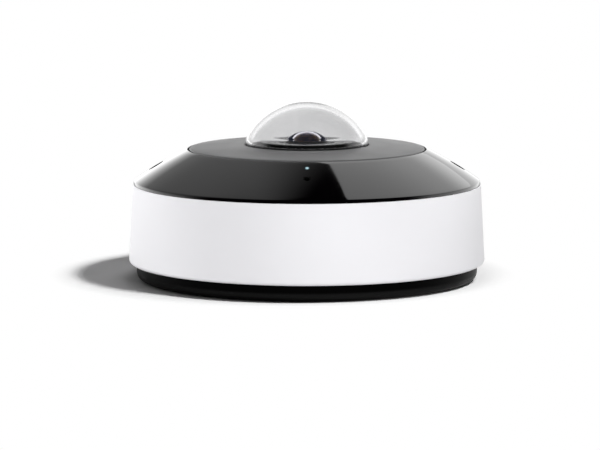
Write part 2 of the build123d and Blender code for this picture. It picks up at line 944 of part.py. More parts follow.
def filter_carriage():
    start = -filter_margin
    end = filter_carriage_end_x()
    top = filter_z + filter_thickness
    shape = block(end - start, filter_length, filter_z, top, (start + end) / 2)
    tongue_end = holder_length / 2
    tongue_length = tongue_end - filter_length / 2 + past
    shape += block(filter_tongue_width, tongue_length, filter_z, top, 0, tongue_end - tongue_length / 2)
    seat_side = filter_glass_side + 2 * filter_seat_edge
    view_side = filter_glass_side - 2 * filter_lip
    for x in (0, filter_travel):
        shape -= block(filter_glass_side, filter_glass_side, filter_z - past, top + past, x)
        shape += block(seat_side, seat_side, filter_z, filter_z + filter_seat, x)
        shape -= block(view_side, view_side, filter_z - past, top + past, x)
    return shape


def filter_glasses():
    """The infrared-cut glass on the axis, and the clear glass beside it."""
    low = filter_z + filter_seat
    top = filter_z + filter_thickness
    return group(block(filter_glass_side, filter_glass_side, low, top, x) for x in (0, filter_travel))


def filter_coil():
    """A coil between two end plates, against the holder, that pulls the carriage's tongue to and fro."""
    y = holder_length / 2 + holder_opening_gap + coil_length / 2
    low = chassis_top_z
    shape = block(coil_width, coil_length, low, low + coil_height, 0, y)
    top = low + coil_height
    notch_width = coil_width / 2 - 2 * coil_cheek
    for x in (-coil_width / 4, coil_width / 4):
        shape -= block(notch_width, coil_length, top - coil_cheek_height, top + past, x, y)
    return shape


# Lens


def lens_barrel():
    seat_bore = second_lens_radius + lens_seat_gap
    head_bore = front_lens_radius + lens_seat_gap
    rim_z = front_lens_rim_z
    return turned(
        (barrel_bore_radius, barrel_foot_z),
        (barrel_neck_radius, barrel_foot_z),
        (barrel_neck_radius, barrel_shoulder_z),
        (barrel_head_radius, barrel_shoulder_z),
        (barrel_head_radius, rim_z - barrel_bevel),
        (barrel_head_radius - barrel_bevel, rim_z),
        (head_bore, rim_z),
        (head_bore, front_lens_z),
        (seat_bore, front_lens_z),
        (seat_bore, second_lens_z),
        (barrel_bore_radius, second_lens_z),
    )


def cap(radius, rise, low):
    """A slice of a ball: flat below, with this radius at its foot and this rise."""
    ball_radius = (radius**2 + rise**2) / (2 * rise)
    centre_z = low + rise - ball_radius
    return (Pos(0, 0, centre_z) * Sphere(ball_radius)) & rod(radius, low, low + rise + past)


def front_lens():
    """The steep outer element: a ball's cap over a hollow of a smaller ball."""
    shape = rod(front_lens_radius, front_lens_z, front_lens_rim_z)
    shape += cap(front_lens_radius, front_lens_cap, front_lens_rim_z)
    hollow_centre_z = lens_top_z - front_lens_centre - front_hollow_radius
    return shape - Pos(0, 0, hollow_centre_z) * Sphere(front_hollow_radius)


def second_lens():
    low = second_lens_z
    shape = rod(second_lens_radius, low, low + second_lens_edge)
    shape += cap(barrel_bore_radius, second_lens_cap, low + second_lens_edge)
    return shape - cap(second_hollow_radius, second_hollow_depth, low)


def rear_lenses():
    """Two round-faced glasses in the barrel's bore."""
    radius = barrel_bore_radius - lens_seat_gap
    shapes = []
    edge_z = barrel_foot_z + rear_lens_start + rear_lens_cap
    for _ in range(rear_lens_count):
        glass = rod(radius, edge_z, edge_z + rear_lens_edge)
        glass += cap(radius, rear_lens_cap, edge_z + rear_lens_edge)
        glass += mirror(cap(radius, rear_lens_cap, -edge_z), Plane.XY)
        shapes.append(glass)
        edge_z += rear_lens_edge + rear_lens_cap + rear_lens_gap
    return group(shapes)


def lens_lock_ring():
    outer = barrel_neck_radius + running_gap + lock_ring_wall
    shape = ring(barrel_neck_radius + running_gap, outer, lock_ring_z, lock_ring_z + lock_ring_height)
    for angle in evenly(lock_notch_count):
        x, y = on_circle(outer, angle)
        shape -= rod(lock_notch_radius, lock_ring_z - past, lock_ring_z + lock_ring_height + past, x, y)
    return shape


def lens_baffle():
    """A capped tube round the lens, with steps in its top and three screwed feet."""
    tube_top_z = trim_inner_z - baffle_tube_drop - baffle_proud
    flare_z = baffle_top_z - baffle_flare_height
    bore = baffle_tube_radius - baffle_wall
    groove = baffle_groove_radius
    slope = baffle_hole_radius + baffle_slope_width
    shape = turned(
        (bore, chassis_top_z),
        (baffle_tube_radius, chassis_top_z),
        (baffle_tube_radius, tube_top_z),
        (baffle_flare_radius, flare_z + baffle_slant),
        (baffle_flare_radius, flare_z + baffle_slant + baffle_band),
        (baffle_rim_radius + baffle_rim_bevel / 2, baffle_top_z - baffle_rim_bevel),
        (baffle_rim_radius - baffle_rim_bevel / 2, baffle_top_z),
        (groove + baffle_groove_width, baffle_top_z),
        (groove + baffle_groove_width, baffle_top_z - baffle_groove_depth),
        (groove, baffle_top_z - baffle_groove_depth),
        (groove, baffle_top_z),
        (slope, baffle_top_z),
        (baffle_hole_radius, baffle_top_z - baffle_slope_depth),
        (baffle_hole_radius, baffle_top_z - baffle_top),
        (bore, baffle_top_z - baffle_top),
    )
    for x, y in baffle_tab_places():
        tab = rod(baffle_tab_radius, chassis_top_z, chassis_top_z + baffle_tab_thickness, x, y)
        shape += tab - rod(baffle_tube_radius - baffle_wall / 4, 0, baffle_top_z)
        shape -= shank_hole(x, y, chassis_top_z - past, chassis_top_z + baffle_tab_thickness + past)
    return shape


def baffle_screws():
    seat = chassis_top_z + baffle_tab_thickness
    reach = baffle_tab_thickness + chassis_thickness
    return group(small_screw(x, y, seat, reach=reach) for x, y in baffle_tab_places())


def light_seal():
    """A foam ring round the baffle that keeps stray infrared light out of the dome."""
    high = flange_z - light_seal_drop + light_seal_height / 2
    return ring(baffle_tube_radius, light_seal_radius, high - light_seal_height, high)


# Emitter boards and front board


def emitter_board(side_angle):
    start = side_angle - emitter_board_half_angle
    shape = sector(
        emitter_board_inner_radius,
        emitter_board_radius,
        emitter_board_z,
        emitter_board_top_z,
        start,
        2 * emitter_board_half_angle,
    )
    for x, y in emitter_post_places(side_angle):
        shape -= shank_hole(x, y, emitter_board_z - past, emitter_board_top_z + past)
    return shape


def emitters(side_angle):
    """A row of square emitters with round lenses."""
    low = emitter_board_top_z
    body = block(emitter_side, emitter_side, low, low + emitter_base, emitter_circle)
    dome_shape = Pos(emitter_circle, 0, low + emitter_base) * Sphere(emitter_lens_radius)
    emitter = body + dome_shape
    emitter -= block(emitter_side, emitter_side, low - 2 * emitter_lens_radius, low, emitter_circle)
    first = side_angle - emitter_step_angle * (emitter_count - 1) / 2
    return group(Rot(0, 0, first + emitter_step_angle * index) * emitter for index in range(emitter_count))


def emitter_board_screws():
    places = emitter_post_places(0) + emitter_post_places(180) + front_screw_places()
    reach = thin_board + small_thread_reach - screw_cover
    return group(small_screw(x, y, emitter_board_top_z, reach=reach) for x, y in places)


def front_board():
    low, high = emitter_board_z, emitter_board_top_z
    shape = block(front_board_width, front_board_length, low, high, y=front_board_middle_y)
    for x, y in front_screw_places():
        shape -= shank_hole(x, y, low - past, high + past)
    return shape


def status_light():
    low = emitter_board_top_z
    return block(status_light_width, status_light_length, low, low + status_light_height, y=light_pipe_y)


def microphone():
    low = emitter_board_top_z
    top = low + microphone_height
    body = block(microphone_width, microphone_length, low, top, y=microphone_y)
    return body - rod(sound_hole_radius, low + microphone_height / 2, top + past, 0, microphone_y)


def microphone_boot():
    low = emitter_board_top_z + microphone_height
    outer = microphone_hole_radius + boot_wall
    return ring(microphone_hole_radius, outer, low, membrane_z() - seal_squeeze_gap, 0, microphone_y)


# Cover


def shroud_radius_at(z):
    """The shroud's outer radius at a height, along its straight taper."""
    share = (z - shroud_bottom_z) / (shroud_top_z - shroud_bottom_z)
    return body_radius - shroud_taper * share


def white_shroud():
    bottom, top = shroud_bottom_z, shroud_top_z
    foot_inner = body_radius - shroud_wall
    shape = turned(
        (foot_inner, bottom),
        (body_radius, bottom),
        (shroud_top_radius, top),
        (shroud_top_radius - shroud_wall, top),
        (shroud_top_radius - shroud_wall, ledge_top_z),
        (ledge_inner_radius, ledge_top_z),
        (ledge_inner_radius, ledge_z),
        (shroud_radius_at(ledge_z) - shroud_wall, ledge_z),
    )
    foot = shape.edges().filter_by(GeomType.CIRCLE).filter_by(
        lambda edge: abs(edge.radius - body_radius) < 0.01
    )
    shape = fillet(foot, shroud_foot_round)
    for x, y in cover_screw_places():
        pad = rod(screw_pad_radius, ledge_z, ledge_top_z, x, y)
        shape += pad & rod(shroud_top_radius - shroud_wall / 2, ledge_z, ledge_top_z)
        shape -= rod(screw_shank_radius + through_gap, ledge_z - past, ledge_top_z + past, x, y)
    return shape


def cone_section():
    """The crowned outline from the window's foot to its top."""
    return SagittaArc((cone_foot_radius, cone_foot_z), (cone_top_radius, cone_top_z), -cone_crown)


def cone_z_at(radius):
    """The height of the straight cone at a radius, without its crown."""
    share = (cone_foot_radius - radius) / cone_width
    return cone_foot_z + cone_height * share


def window_drop():
    """The window's wall, measured straight down."""
    return window_wall * math.hypot(cone_height, cone_width) / cone_width


def window_shell():
    """The glossy cone with its lip, its spigot in the shroud and the shelf for the trim ring."""
    slope = math.atan2(cone_height, cone_width)
    drop = window_drop()
    outer = cone_section()
    shelf_under_z = shelf_z - shelf_thickness
    inner_foot_radius = spigot_radius - spigot_wall
    inner_foot = (inner_foot_radius, cone_z_at(inner_foot_radius) - drop)
    inner_top = (cone_top_radius + (cone_top_z - drop - shelf_under_z) / math.tan(slope), shelf_under_z)
    rest = Polyline(
        (cone_top_radius, cone_top_z),
        (cone_top_radius, shelf_z),
        (shelf_inner_radius, shelf_z),
        (shelf_inner_radius, shelf_under_z),
        inner_top,
        inner_foot,
        (inner_foot_radius, ledge_top_z),
        (spigot_radius, ledge_top_z),
        (spigot_radius, shroud_top_z),
        (shroud_top_radius, shroud_top_z),
        (cone_foot_radius, cone_foot_z),
    )
    return revolve(Plane.XZ * make_face([outer, rest]), Axis.Z)


def under_cone():
    """All the space below the window's outer face, to trim what ends flush with it."""
    outer = cone_section()
    rest = Polyline(
        (cone_top_radius, cone_top_z),
        (0, cone_top_z),
        (0, 0),
        (cone_foot_radius, 0),
        (cone_foot_radius, cone_foot_z),
    )
    return revolve(Plane.XZ * make_face([outer, rest]), Axis.Z)


def membrane_z():
    """The underside of the membrane, which is glued under the microphone's boss."""
    return microphone_boss_z() - membrane_thickness


def microphone_boss_z():
    """The boss's underside, just past the window's inner face on its lower side."""
    low_side = microphone_boss_radius - microphone_y
    return cone_z_at(low_side) - window_drop() - microphone_boss_reach


def ir_window():
    shape = window_shell()
    inside = under_cone()
    for x, y in cover_screw_places():
        column = rod(screw_column_radius, ledge_top_z, cone_top_z, x, y)
        shape += column & inside
    boss = rod(microphone_boss_radius, microphone_boss_z(), cone_top_z, 0, microphone_y)
    shape += boss & inside
    for x, y in cover_screw_places():
        shape -= rod(screw_recess_radius, screw_recess_z, cone_top_z + past, x, y)
        shape -= rod(screw_shank_radius + through_gap, ledge_top_z - past, screw_recess_z + past, x, y)
    for x, y in trim_screw_places():
        shape -= shank_hole(x, y, shelf_z - shelf_thickness - past, shelf_z + past)
    shape -= rod(microphone_hole_radius, membrane_z() - past, cone_top_z, 0, microphone_y)
    shape -= rod(light_pipe_radius + running_gap, emitter_board_z, cone_top_z, 0, light_pipe_y)
    return shape


def light_pipe():
    """A clear rod from just above the status light to the window's face."""
    low = emitter_board_top_z + status_light_height + light_gap
    return rod(light_pipe_radius, low, cone_top_z, 0, light_pipe_y) & under_cone()


def microphone_membrane():
    radius = microphone_boss_radius - membrane_inset
    return rod(radius, membrane_z(), microphone_boss_z(), 0, microphone_y)


def cover_screws():
    """Security screws with a six-sided socket, each on its rubber ring."""
    seat = screw_recess_z + screw_seal_thickness
    tip = rim_z - screw_thread_reach
    shapes = []
    for x, y in cover_screw_places():
        head = rod(screw_head_radius, seat, seat + screw_head_height, x, y)
        head = fillet(head.edges().sort_by(Axis.Z)[-1], screw_head_height / 4)
        key = extrude(RegularPolygon(screw_socket_radius, 6), screw_head_height)
        shank = rod(screw_shank_radius, tip, seat, x, y)
        shapes.append(head - Pos(x, y, seat + screw_head_height / 3) * key + shank)
    return group(shapes)


def screw_seals():
    inner = screw_shank_radius + running_gap
    low = screw_recess_z
    high = low + screw_seal_thickness
    return group(ring(inner, screw_head_radius, low, high, x, y) for x, y in cover_screw_places())


def clamp_screw_places():
    return [on_circle(clamp_screw_circle, angle) for angle in evenly(clamp_screw_count, 90)]


def trim_screw_places():
    return [on_circle(trim_screw_circle, angle) for angle in evenly(trim_screw_count, 45)]


def trim_ring():
    shape = turned(
        (trim_inner_radius, trim_under_z),
        (shelf_inner_radius, trim_under_z),
        (shelf_inner_radius, shelf_z),
        (trim_radius, shelf_z),
        (trim_radius, trim_edge_z - trim_edge_round),
        (trim_radius - trim_edge_round, trim_edge_z),
        (trim_inner_radius, trim_inner_z),
    )
    boss_bottom_z = flange_z
    for x, y in clamp_screw_places():
        shape += rod(clamp_boss_radius, boss_bottom_z, trim_under_z + past, x, y)
        shape -= shank_hole(x, y, boss_bottom_z - past, boss_bottom_z + small_thread_reach + hole_end_gap)
    for x, y in trim_screw_places():
        shape -= shank_hole(x, y, shelf_z - past, trim_edge_z - trim_screw_cover + hole_end_gap)
    return shape


def ball_over_foot(foot_radius, ball_radius, low, blend):
    """A ball's cap that runs down smoothly into an upright wall."""
    corner_z = dome_centre_z + math.sqrt(ball_radius**2 - foot_radius**2)
    corner_angle = math.degrees(math.acos(foot_radius / ball_radius))
    crown = CenterArc((0, dome_centre_z), ball_radius, corner_angle, 90 - corner_angle)
    walls = Polyline((0, dome_centre_z + ball_radius), (0, low), (foot_radius, low), (foot_radius, corner_z))
    face = make_face([crown, walls])
    corner = face.vertices().sort_by_distance((foot_radius, corner_z))[0]
    return revolve(Plane.XZ * fillet(corner, blend), Axis.Z)


def dome():
    outside = ball_over_foot(dome_foot_radius, dome_crown_radius, flange_z, dome_blend)
    outside += rod(dome_flange_radius, flange_z, flange_top_z)
    inner_blend = dome_blend - dome_wall
    inside = ball_over_foot(dome_inner_radius, dome_crown_radius - dome_wall, flange_z - past, inner_blend)
    return outside - inside


def dome_seal():
    inner = dome_foot_radius + dome_gap
    return ring(inner, inner + dome_seal_width, flange_top_z, trim_under_z)


def dome_clamp():
    shape = ring(dome_inner_radius, clamp_radius, clamp_z, flange_z)
    for x, y in clamp_screw_places():
        shape -= shank_hole(x, y, clamp_z - past, flange_z + past)
    return shape


def cover_inner_screws():
    """The screws that hold the dome's clamp and the trim ring, all from inside the cover."""
    clamp_reach = clamp_thickness + small_thread_reach
    shelf_under_z = shelf_z - shelf_thickness
    trim_reach = trim_edge_z - trim_screw_cover - shelf_under_z
    shapes = [small_screw(x, y, clamp_z, up=True, reach=clamp_reach) for x, y in clamp_screw_places()]
    shapes += [small_screw(x, y, shelf_under_z, up=True, reach=trim_reach) for x, y in trim_screw_places()]
    return group(shapes)


nodes = {
    "base_housing": base_housing(),
    "ceiling_gasket": ceiling_gasket(),
    "cable_grommet": cable_grommet(),
    "cover_seal": cover_seal(),
    "threaded_inserts": threaded_inserts(),
    "mounting_plate": mounting_plate(),
    "main_board": main_board(),
    "main_board_screws": main_board_screws(),
    "network_jack": network_jack(),
    "jack_contacts": jack_contacts(),
    "card_socket": card_socket(),
    "memory_card": memory_card(),
    "reset_switch": reset_switch(),
    "reset_button": reset_button(),
    "processor": processor(),
    "thermal_pad": thermal_pad(),
    "memory_chips": memory_chips(),
    "supply_transformer": supply_transformer(),
    "capacitors": capacitors(),
    "ribbon_connectors": ribbon_connectors(),
    "sensor_ribbon": sensor_ribbon(),
    "emitter_ribbons": emitter_ribbons(),
    "chassis": chassis(),
    "chassis_screws": chassis_screws(),
    "sensor_board": sensor_board(),
    "sensor_board_screws": sensor_board_screws(),
    "image_sensor": image_sensor(),
    "sensor_cover_glass": sensor_cover_glass(),
    "lens_holder": lens_holder(),
    "filter_carriage": filter_carriage(),
    "filter_glasses": filter_glasses(),
    "filter_coil": filter_coil(),
    "lens_barrel": lens_barrel(),
    "lens_lock_ring": lens_lock_ring(),
    "front_lens": front_lens(),
    "second_lens": second_lens(),
    "rear_lenses": rear_lenses(),
    "lens_baffle": lens_baffle(),
    "baffle_screws": baffle_screws(),
    "light_seal": light_seal(),
    "emitter_board_left": emitter_board(180),
    "emitter_board_right": emitter_board(0),
    "emitters_left": emitters(180),
    "emitters_right": emitters(0),
    "emitter_board_screws": emitter_board_screws(),
    "front_board": front_board(),
    "status_light": status_light(),
    "microphone": microphone(),
    "microphone_boot": microphone_boot(),
    "white_shroud": white_shroud(),
    "ir_window": ir_window(),
    "light_pipe": light_pipe(),
    "microphone_membrane": microphone_membrane(),
    "cover_screws": cover_screws(),
    "screw_seals": screw_seals(),
    "trim_ring": trim_ring(),
    "dome": dome(),
    "dome_seal": dome_seal(),
    "dome_clamp": dome_clamp(),
    "cover_inner_screws": cover_inner_screws(),
}

os.makedirs("parts", exist_ok=True)
for name, shape in nodes.items():
    export_step(shape, f"parts/{name}.step")
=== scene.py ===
import json
import math
import bpy
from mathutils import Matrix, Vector


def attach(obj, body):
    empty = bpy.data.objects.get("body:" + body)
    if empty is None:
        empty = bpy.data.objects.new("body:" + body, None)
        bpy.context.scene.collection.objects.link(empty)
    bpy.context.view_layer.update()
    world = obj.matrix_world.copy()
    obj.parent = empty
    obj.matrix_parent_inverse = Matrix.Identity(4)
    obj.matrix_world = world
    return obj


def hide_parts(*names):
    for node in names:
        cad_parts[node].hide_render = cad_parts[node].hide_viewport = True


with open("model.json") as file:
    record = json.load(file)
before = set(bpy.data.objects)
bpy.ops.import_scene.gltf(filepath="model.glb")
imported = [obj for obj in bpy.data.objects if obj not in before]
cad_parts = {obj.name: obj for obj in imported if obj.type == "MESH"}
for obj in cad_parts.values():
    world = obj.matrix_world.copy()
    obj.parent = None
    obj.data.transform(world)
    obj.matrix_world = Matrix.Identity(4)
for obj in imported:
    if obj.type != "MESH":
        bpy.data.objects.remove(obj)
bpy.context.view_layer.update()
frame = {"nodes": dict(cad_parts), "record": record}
nodes = frame["nodes"]

# Lengths below are in millimetres, as on a drawing. MM turns them into metres.
MM = 0.001

# White shroud
shroud_radius = 75.0
shroud_top_radius = 73.2
shroud_bottom = 7.3
shroud_top = 40.6
shroud_wall = 2.4
shroud_foot_round = 1.6
shroud_edge_round = 0.25
ledge_bottom = 35.0
ledge_top = 37.5
ledge_inner_radius = 65.2
screw_pad_radius = 4.6

# Window
cone_foot_radius = 72.7
cone_foot = 42.0
cone_top_radius = 50.3
cone_top = 55.2
cone_crown = 0.5
window_wall = 2.2
spigot_radius = 70.6
spigot_wall = 2.2
shelf_top = 52.5
shelf_thickness = 2.2
shelf_inner_radius = 44.0
screw_circle = 63.4
screw_places = (-screw_circle, screw_circle)
screw_recess_radius = 3.15
screw_recess_floor = 42.5
screw_hole_radius = 1.7
column_radius = 4.4
light_y = -54.5
light_radius = 1.05
microphone_y = -61.3
microphone_radius = 1.0
microphone_boss_radius = 2.6
microphone_boss_foot = 44.03
light_play = 0.05
window_edge_round = 0.3
window_lip_round = 0.2

# Trim ring
trim_radius = 49.5
trim_edge = 55.5
trim_inner_radius = 26.2
trim_inner_top = 57.05
trim_crown = 0.25
trim_under = 53.5
trim_edge_round = 0.5
trim_inner_round = 0.3
# Out to this radius the trim's colour is painted paler, a painted highlight beside the dome
trim_painted_sheen_radius = 36.0
boss_foot = 50.7
boss_radius = 2.35
boss_circle = 37.95
boss_count = 6

# Dome
dome_foot_radius = 25.8
dome_ball_radius = 29.3
dome_centre = 45.7
dome_wall = 2.5
dome_blend = 8.0
dome_flange_radius = 33.0
dome_flange_foot = 50.7
dome_flange_top = 52.7

# Baffle
baffle_top = 58.6
baffle_rim_radius = 20.5
baffle_flare_radius = 22.5
baffle_tube_radius = 21.3
baffle_wall = 2.0
baffle_foot = 34.0
baffle_tube_top = 54.0
baffle_flare_low = 55.3
baffle_flare_edge = 0.2
baffle_rim_round = 0.5
baffle_step_radius = 14.9
baffle_step_width = 0.35
baffle_step_depth = 0.5
baffle_slope_radius = 12.35
baffle_hole_radius = 10.45
baffle_slope_depth = 0.7
baffle_tab_radius = 3.0
baffle_tab_circle = 23.5
baffle_tab_height = 2.0
baffle_tab_angles = (-90, 30, 150)

# Lens
lens_rim = 58.5
lens_edge = 57.5
lens_radius = 9.1
lens_cap_height = 4.1
hollow_radius = 6.9
hollow_depth_below_top = 1.55
barrel_head_radius = 10.05
lip_radius = 8.45
lip_thickness = 0.2
lip_root = 0.15
glass_play = 0.05
barrel_head_foot = 50.2
barrel_head_bevel = 0.4
barrel_neck_radius = 7.0
barrel_foot = 39.2
barrel_bore_radius = 5.2
second_seat_radius = 7.35
second_seat = 52.8

# Base: heights between which its painted highlight line begins, and between which it ends
highlight_begins = (0.6, 2.8)
highlight_ends = (3.2, 4.3)

# Sides of what is turned, and of pegs
fine = 256
medium = 128
small = 64

# The radius that stands for the axis in an outline. Its ring merges into one point.
pole_radius = 0.005

# How far a peg reaches past the shape that it cuts or joins
overlap = 1.0


# Modelling


def clear_selection():
    if bpy.context.object and bpy.context.object.mode != "OBJECT":
        bpy.ops.object.mode_set(mode="OBJECT")
    bpy.ops.object.select_all(action="DESELECT")


def activate(piece):
    clear_selection()
    piece.select_set(True)
    bpy.context.view_layer.objects.active = piece


def settle(piece):
    """Puts the piece's place into its mesh."""
    activate(piece)
    bpy.ops.object.transform_apply(location=True, rotation=True, scale=True)


def apply_modifiers(piece):
    activate(piece)
    for modifier in list(piece.modifiers):
        bpy.ops.object.modifier_apply(modifier=modifier.name)


def tidy_mesh(piece):
    """Merges doubles and the ring at a pole, then turns the faces outwards."""
    activate(piece)
    bpy.ops.object.mode_set(mode="EDIT")
    bpy.ops.mesh.select_all(action="SELECT")
    bpy.ops.mesh.remove_doubles(threshold=4 * pole_radius * MM)
    bpy.ops.mesh.normals_make_consistent(inside=False)
    bpy.ops.object.mode_set(mode="OBJECT")


def smooth(piece):
    """Shades the piece smooth, but for edges sharper than 30 degrees."""
    activate(piece)
    bpy.ops.object.shade_smooth_by_angle(angle=math.radians(30))


def select_ring(piece, radius, height):
    """Selects the edges that lie on one turned ring, given in millimetres."""
    mesh = piece.data
    near = 0.01 * MM
    on_ring = set()
    for vertex in mesh.vertices:
        place = vertex.co
        off_radius = abs(math.hypot(place.x, place.y) - radius * MM)
        if off_radius < near and abs(place.z - height * MM) < near:
            on_ring.add(vertex.index)
    for polygon in mesh.polygons:
        polygon.select = False
    for vertex in mesh.vertices:
        vertex.select = vertex.index in on_ring
    for edge in mesh.edges:
        edge.select = edge.vertices[0] in on_ring and edge.vertices[1] in on_ring


def round_rings(piece, rings):
    """Rounds turned edges. Each ring is a radius, a height and the width of its rounding."""
    for radius, height, width in rings:
        activate(piece)
        select_ring(piece, radius, height)
        bpy.ops.object.mode_set(mode="EDIT")
        bpy.ops.mesh.select_mode(type="EDGE")
        bpy.ops.mesh.bevel(offset=width * MM, segments=4, affect="EDGES")
        bpy.ops.object.mode_set(mode="OBJECT")


def turned(name, outline, segments=fine, rings=()):
    """A ring of edges is extruded and resized from one outline point to the next, back to its start."""
    clear_selection()
    radius, height = outline[0]
    place = (0, 0, height * MM)
    bpy.ops.mesh.primitive_circle_add(vertices=segments, radius=radius * MM, location=place)
    piece = bpy.context.object
    piece.name = name
    settle(piece)
    bpy.ops.object.mode_set(mode="EDIT")
    bpy.ops.mesh.select_mode(type="EDGE")
    bpy.ops.mesh.select_all(action="SELECT")
    closing = list(outline[1:])
    if outline[-1][0] > pole_radius or outline[0][0] > pole_radius:
        closing.append(outline[0])
    for next_radius, next_height in closing:
        rise = (0, 0, (next_height - height) * MM)
        bpy.ops.mesh.extrude_region_move(TRANSFORM_OT_translate={"value": rise})
        share = next_radius / radius
        centre = (0, 0, next_height * MM)
        bpy.ops.transform.resize(value=(share, share, 1), center_override=centre)
        radius, height = next_radius, next_height
    bpy.ops.object.mode_set(mode="OBJECT")
    tidy_mesh(piece)
    round_rings(piece, rings)
    smooth(piece)
    return piece


def arc(centre_radius, centre_height, radius, start, end, steps):
    """Outline points along an arc, with angles in degrees from the outward direction."""
    points = []
    for index in range(steps + 1):
        angle = math.radians(start + (end - start) * index / steps)
        point_radius = centre_radius + radius * math.cos(angle)
        points.append((max(point_radius, pole_radius), centre_height + radius * math.sin(angle)))
    return points


def crowned(start, end, rise, steps):
    """Outline points from start to end that stand out by rise in the middle."""
    run = Vector((end[0] - start[0], end[1] - start[1]))
    outward = Vector((-run.y, run.x)).normalized()
    points = []
    for index in range(steps + 1):
        share = index / steps
        stand = rise * 4 * share * (1 - share)
        radius = start[0] + run.x * share + outward.x * stand
        height = start[1] + run.y * share + outward.y * stand
        points.append((radius, height))
    return points


def peg(name, radius, low, high, x=0.0, y=0.0):
    """An upright rod, used to cut or to add to a piece."""
    clear_selection()
    middle = (x * MM, y * MM, (low + high) / 2 * MM)
    length = (high - low) * MM
    bpy.ops.mesh.primitive_cylinder_add(vertices=small, radius=radius * MM, depth=length, location=middle)
    piece = bpy.context.object
    piece.name = name
    settle(piece)
    return piece


def combine(piece, other, operation):
    """Adds, cuts or intersects, and removes the other shape."""
    modifier = piece.modifiers.new(operation.lower(), "BOOLEAN")
    modifier.operation = operation
    modifier.object = other
    modifier.solver = "EXACT"
    apply_modifiers(piece)
    bpy.data.objects.remove(other)


def on_circle(radius, angle):
    turn = math.radians(angle)
    return radius * math.cos(turn), radius * math.sin(turn)


def cone_height_at(radius):
    share = (cone_foot_radius - radius) / (cone_foot_radius - cone_top_radius)
    return cone_foot + (cone_top - cone_foot) * share


# Cover


def white_shroud():
    wall_top_radius = shroud_top_radius - shroud_wall
    share = (ledge_bottom - shroud_bottom) / (shroud_top - shroud_bottom)
    wall_ledge_radius = shroud_radius - (shroud_radius - shroud_top_radius) * share - shroud_wall
    piece = turned(
        "white_shroud_skin",
        [
            (shroud_radius - shroud_wall, shroud_bottom),
            (shroud_radius, shroud_bottom),
            (shroud_top_radius, shroud_top),
            (wall_top_radius, shroud_top),
            (wall_top_radius, ledge_top),
            (ledge_inner_radius, ledge_top),
            (ledge_inner_radius, ledge_bottom),
            (wall_ledge_radius, ledge_bottom),
        ],
        rings=[
            (shroud_radius, shroud_bottom, shroud_foot_round),
            (shroud_top_radius, shroud_top, shroud_edge_round),
        ],
    )
    for x in screw_places:
        combine(piece, peg("pad", screw_pad_radius, ledge_bottom, ledge_top, x), "UNION")
        hole = peg("hole", screw_hole_radius, ledge_bottom - overlap, ledge_top + overlap, x)
        combine(piece, hole, "DIFFERENCE")
    smooth(piece)
    return piece


def window_outline():
    slope = math.atan2(cone_top - cone_foot, cone_foot_radius - cone_top_radius)
    drop = window_wall / math.cos(slope)
    shelf_under = shelf_top - shelf_thickness
    inner_foot_radius = spigot_radius - spigot_wall
    inner_top_radius = cone_top_radius + (cone_top - drop - shelf_under) / math.tan(slope)
    outline = crowned((cone_foot_radius, cone_foot), (cone_top_radius, cone_top), -cone_crown, steps=12)
    outline += [
        (cone_top_radius, shelf_top),
        (shelf_inner_radius, shelf_top),
        (shelf_inner_radius, shelf_under),
        (inner_top_radius, shelf_under),
        (inner_foot_radius, cone_height_at(inner_foot_radius) - drop),
        (inner_foot_radius, ledge_top),
        (spigot_radius, ledge_top),
        (spigot_radius, shroud_top),
        (shroud_top_radius, shroud_top),
    ]
    return outline


def under_window():
    """The space under the window's outer face, which trims its columns and bosses."""
    inset = 0.4
    return turned(
        "under_window",
        [
            (pole_radius, ledge_top),
            (cone_foot_radius - inset, ledge_top),
            (cone_foot_radius - inset, cone_foot - inset),
            (cone_top_radius - inset, cone_top - inset),
            (pole_radius, cone_top - inset),
        ],
        segments=medium,
    )


def ir_window():
    piece = turned(
        "ir_window_skin",
        window_outline(),
        rings=[
            (cone_foot_radius, cone_foot, window_edge_round),
            (cone_top_radius, cone_top, window_edge_round),
            (shroud_top_radius, shroud_top, window_lip_round),
        ],
    )
    columns = [(x, 0, column_radius, ledge_top) for x in screw_places]
    columns.append((0, microphone_y, microphone_boss_radius, microphone_boss_foot))
    for x, y, radius, foot in columns:
        column = peg("column", radius, foot, cone_top + overlap, x, y)
        combine(column, under_window(), "INTERSECT")
        combine(piece, column, "UNION")
    for x in screw_places:
        recess = peg("recess", screw_recess_radius, screw_recess_floor, cone_top + overlap, x)
        combine(piece, recess, "DIFFERENCE")
        combine(piece, peg("hole", screw_hole_radius, ledge_top - overlap, cone_top, x), "DIFFERENCE")
    combine(piece, peg("sound", microphone_radius, ledge_top, cone_top, 0, microphone_y), "DIFFERENCE")
    combine(piece, peg("light", light_radius + light_play, ledge_top, cone_top, 0, light_y), "DIFFERENCE")
    smooth(piece)
    return piece


def trim_ring():
    under_side = [
        (trim_inner_radius, trim_under),
        (shelf_inner_radius, trim_under),
        (shelf_inner_radius, shelf_top),
        (trim_radius, shelf_top),
    ]
    top_side = crowned((trim_radius, trim_edge), (trim_inner_radius, trim_inner_top), -trim_crown, steps=8)
    piece = turned(
        "trim_ring_skin",
        under_side + top_side,
        rings=[
            (trim_radius, trim_edge, trim_edge_round),
            (trim_inner_radius, trim_inner_top, trim_inner_round),
        ],
    )
    for index in range(boss_count):
        x, y = on_circle(boss_circle, 90 + 360 * index / boss_count)
        combine(piece, peg("boss", boss_radius, boss_foot, trim_under + overlap, x, y), "UNION")
    smooth(piece)
    return piece


def dome_side(foot_radius, ball_radius, blend):
    """Outline points from the pole down to where the upright wall starts."""
    blend_centre_radius = foot_radius - blend
    rise = math.sqrt((ball_radius - blend) ** 2 - blend_centre_radius**2)
    meeting = math.degrees(math.atan2(rise, blend_centre_radius))
    crown = arc(0, dome_centre, ball_radius, 90, meeting, steps=28)
    corner = arc(blend_centre_radius, dome_centre + rise, blend, meeting, 0, steps=16)
    return crown + corner[1:]


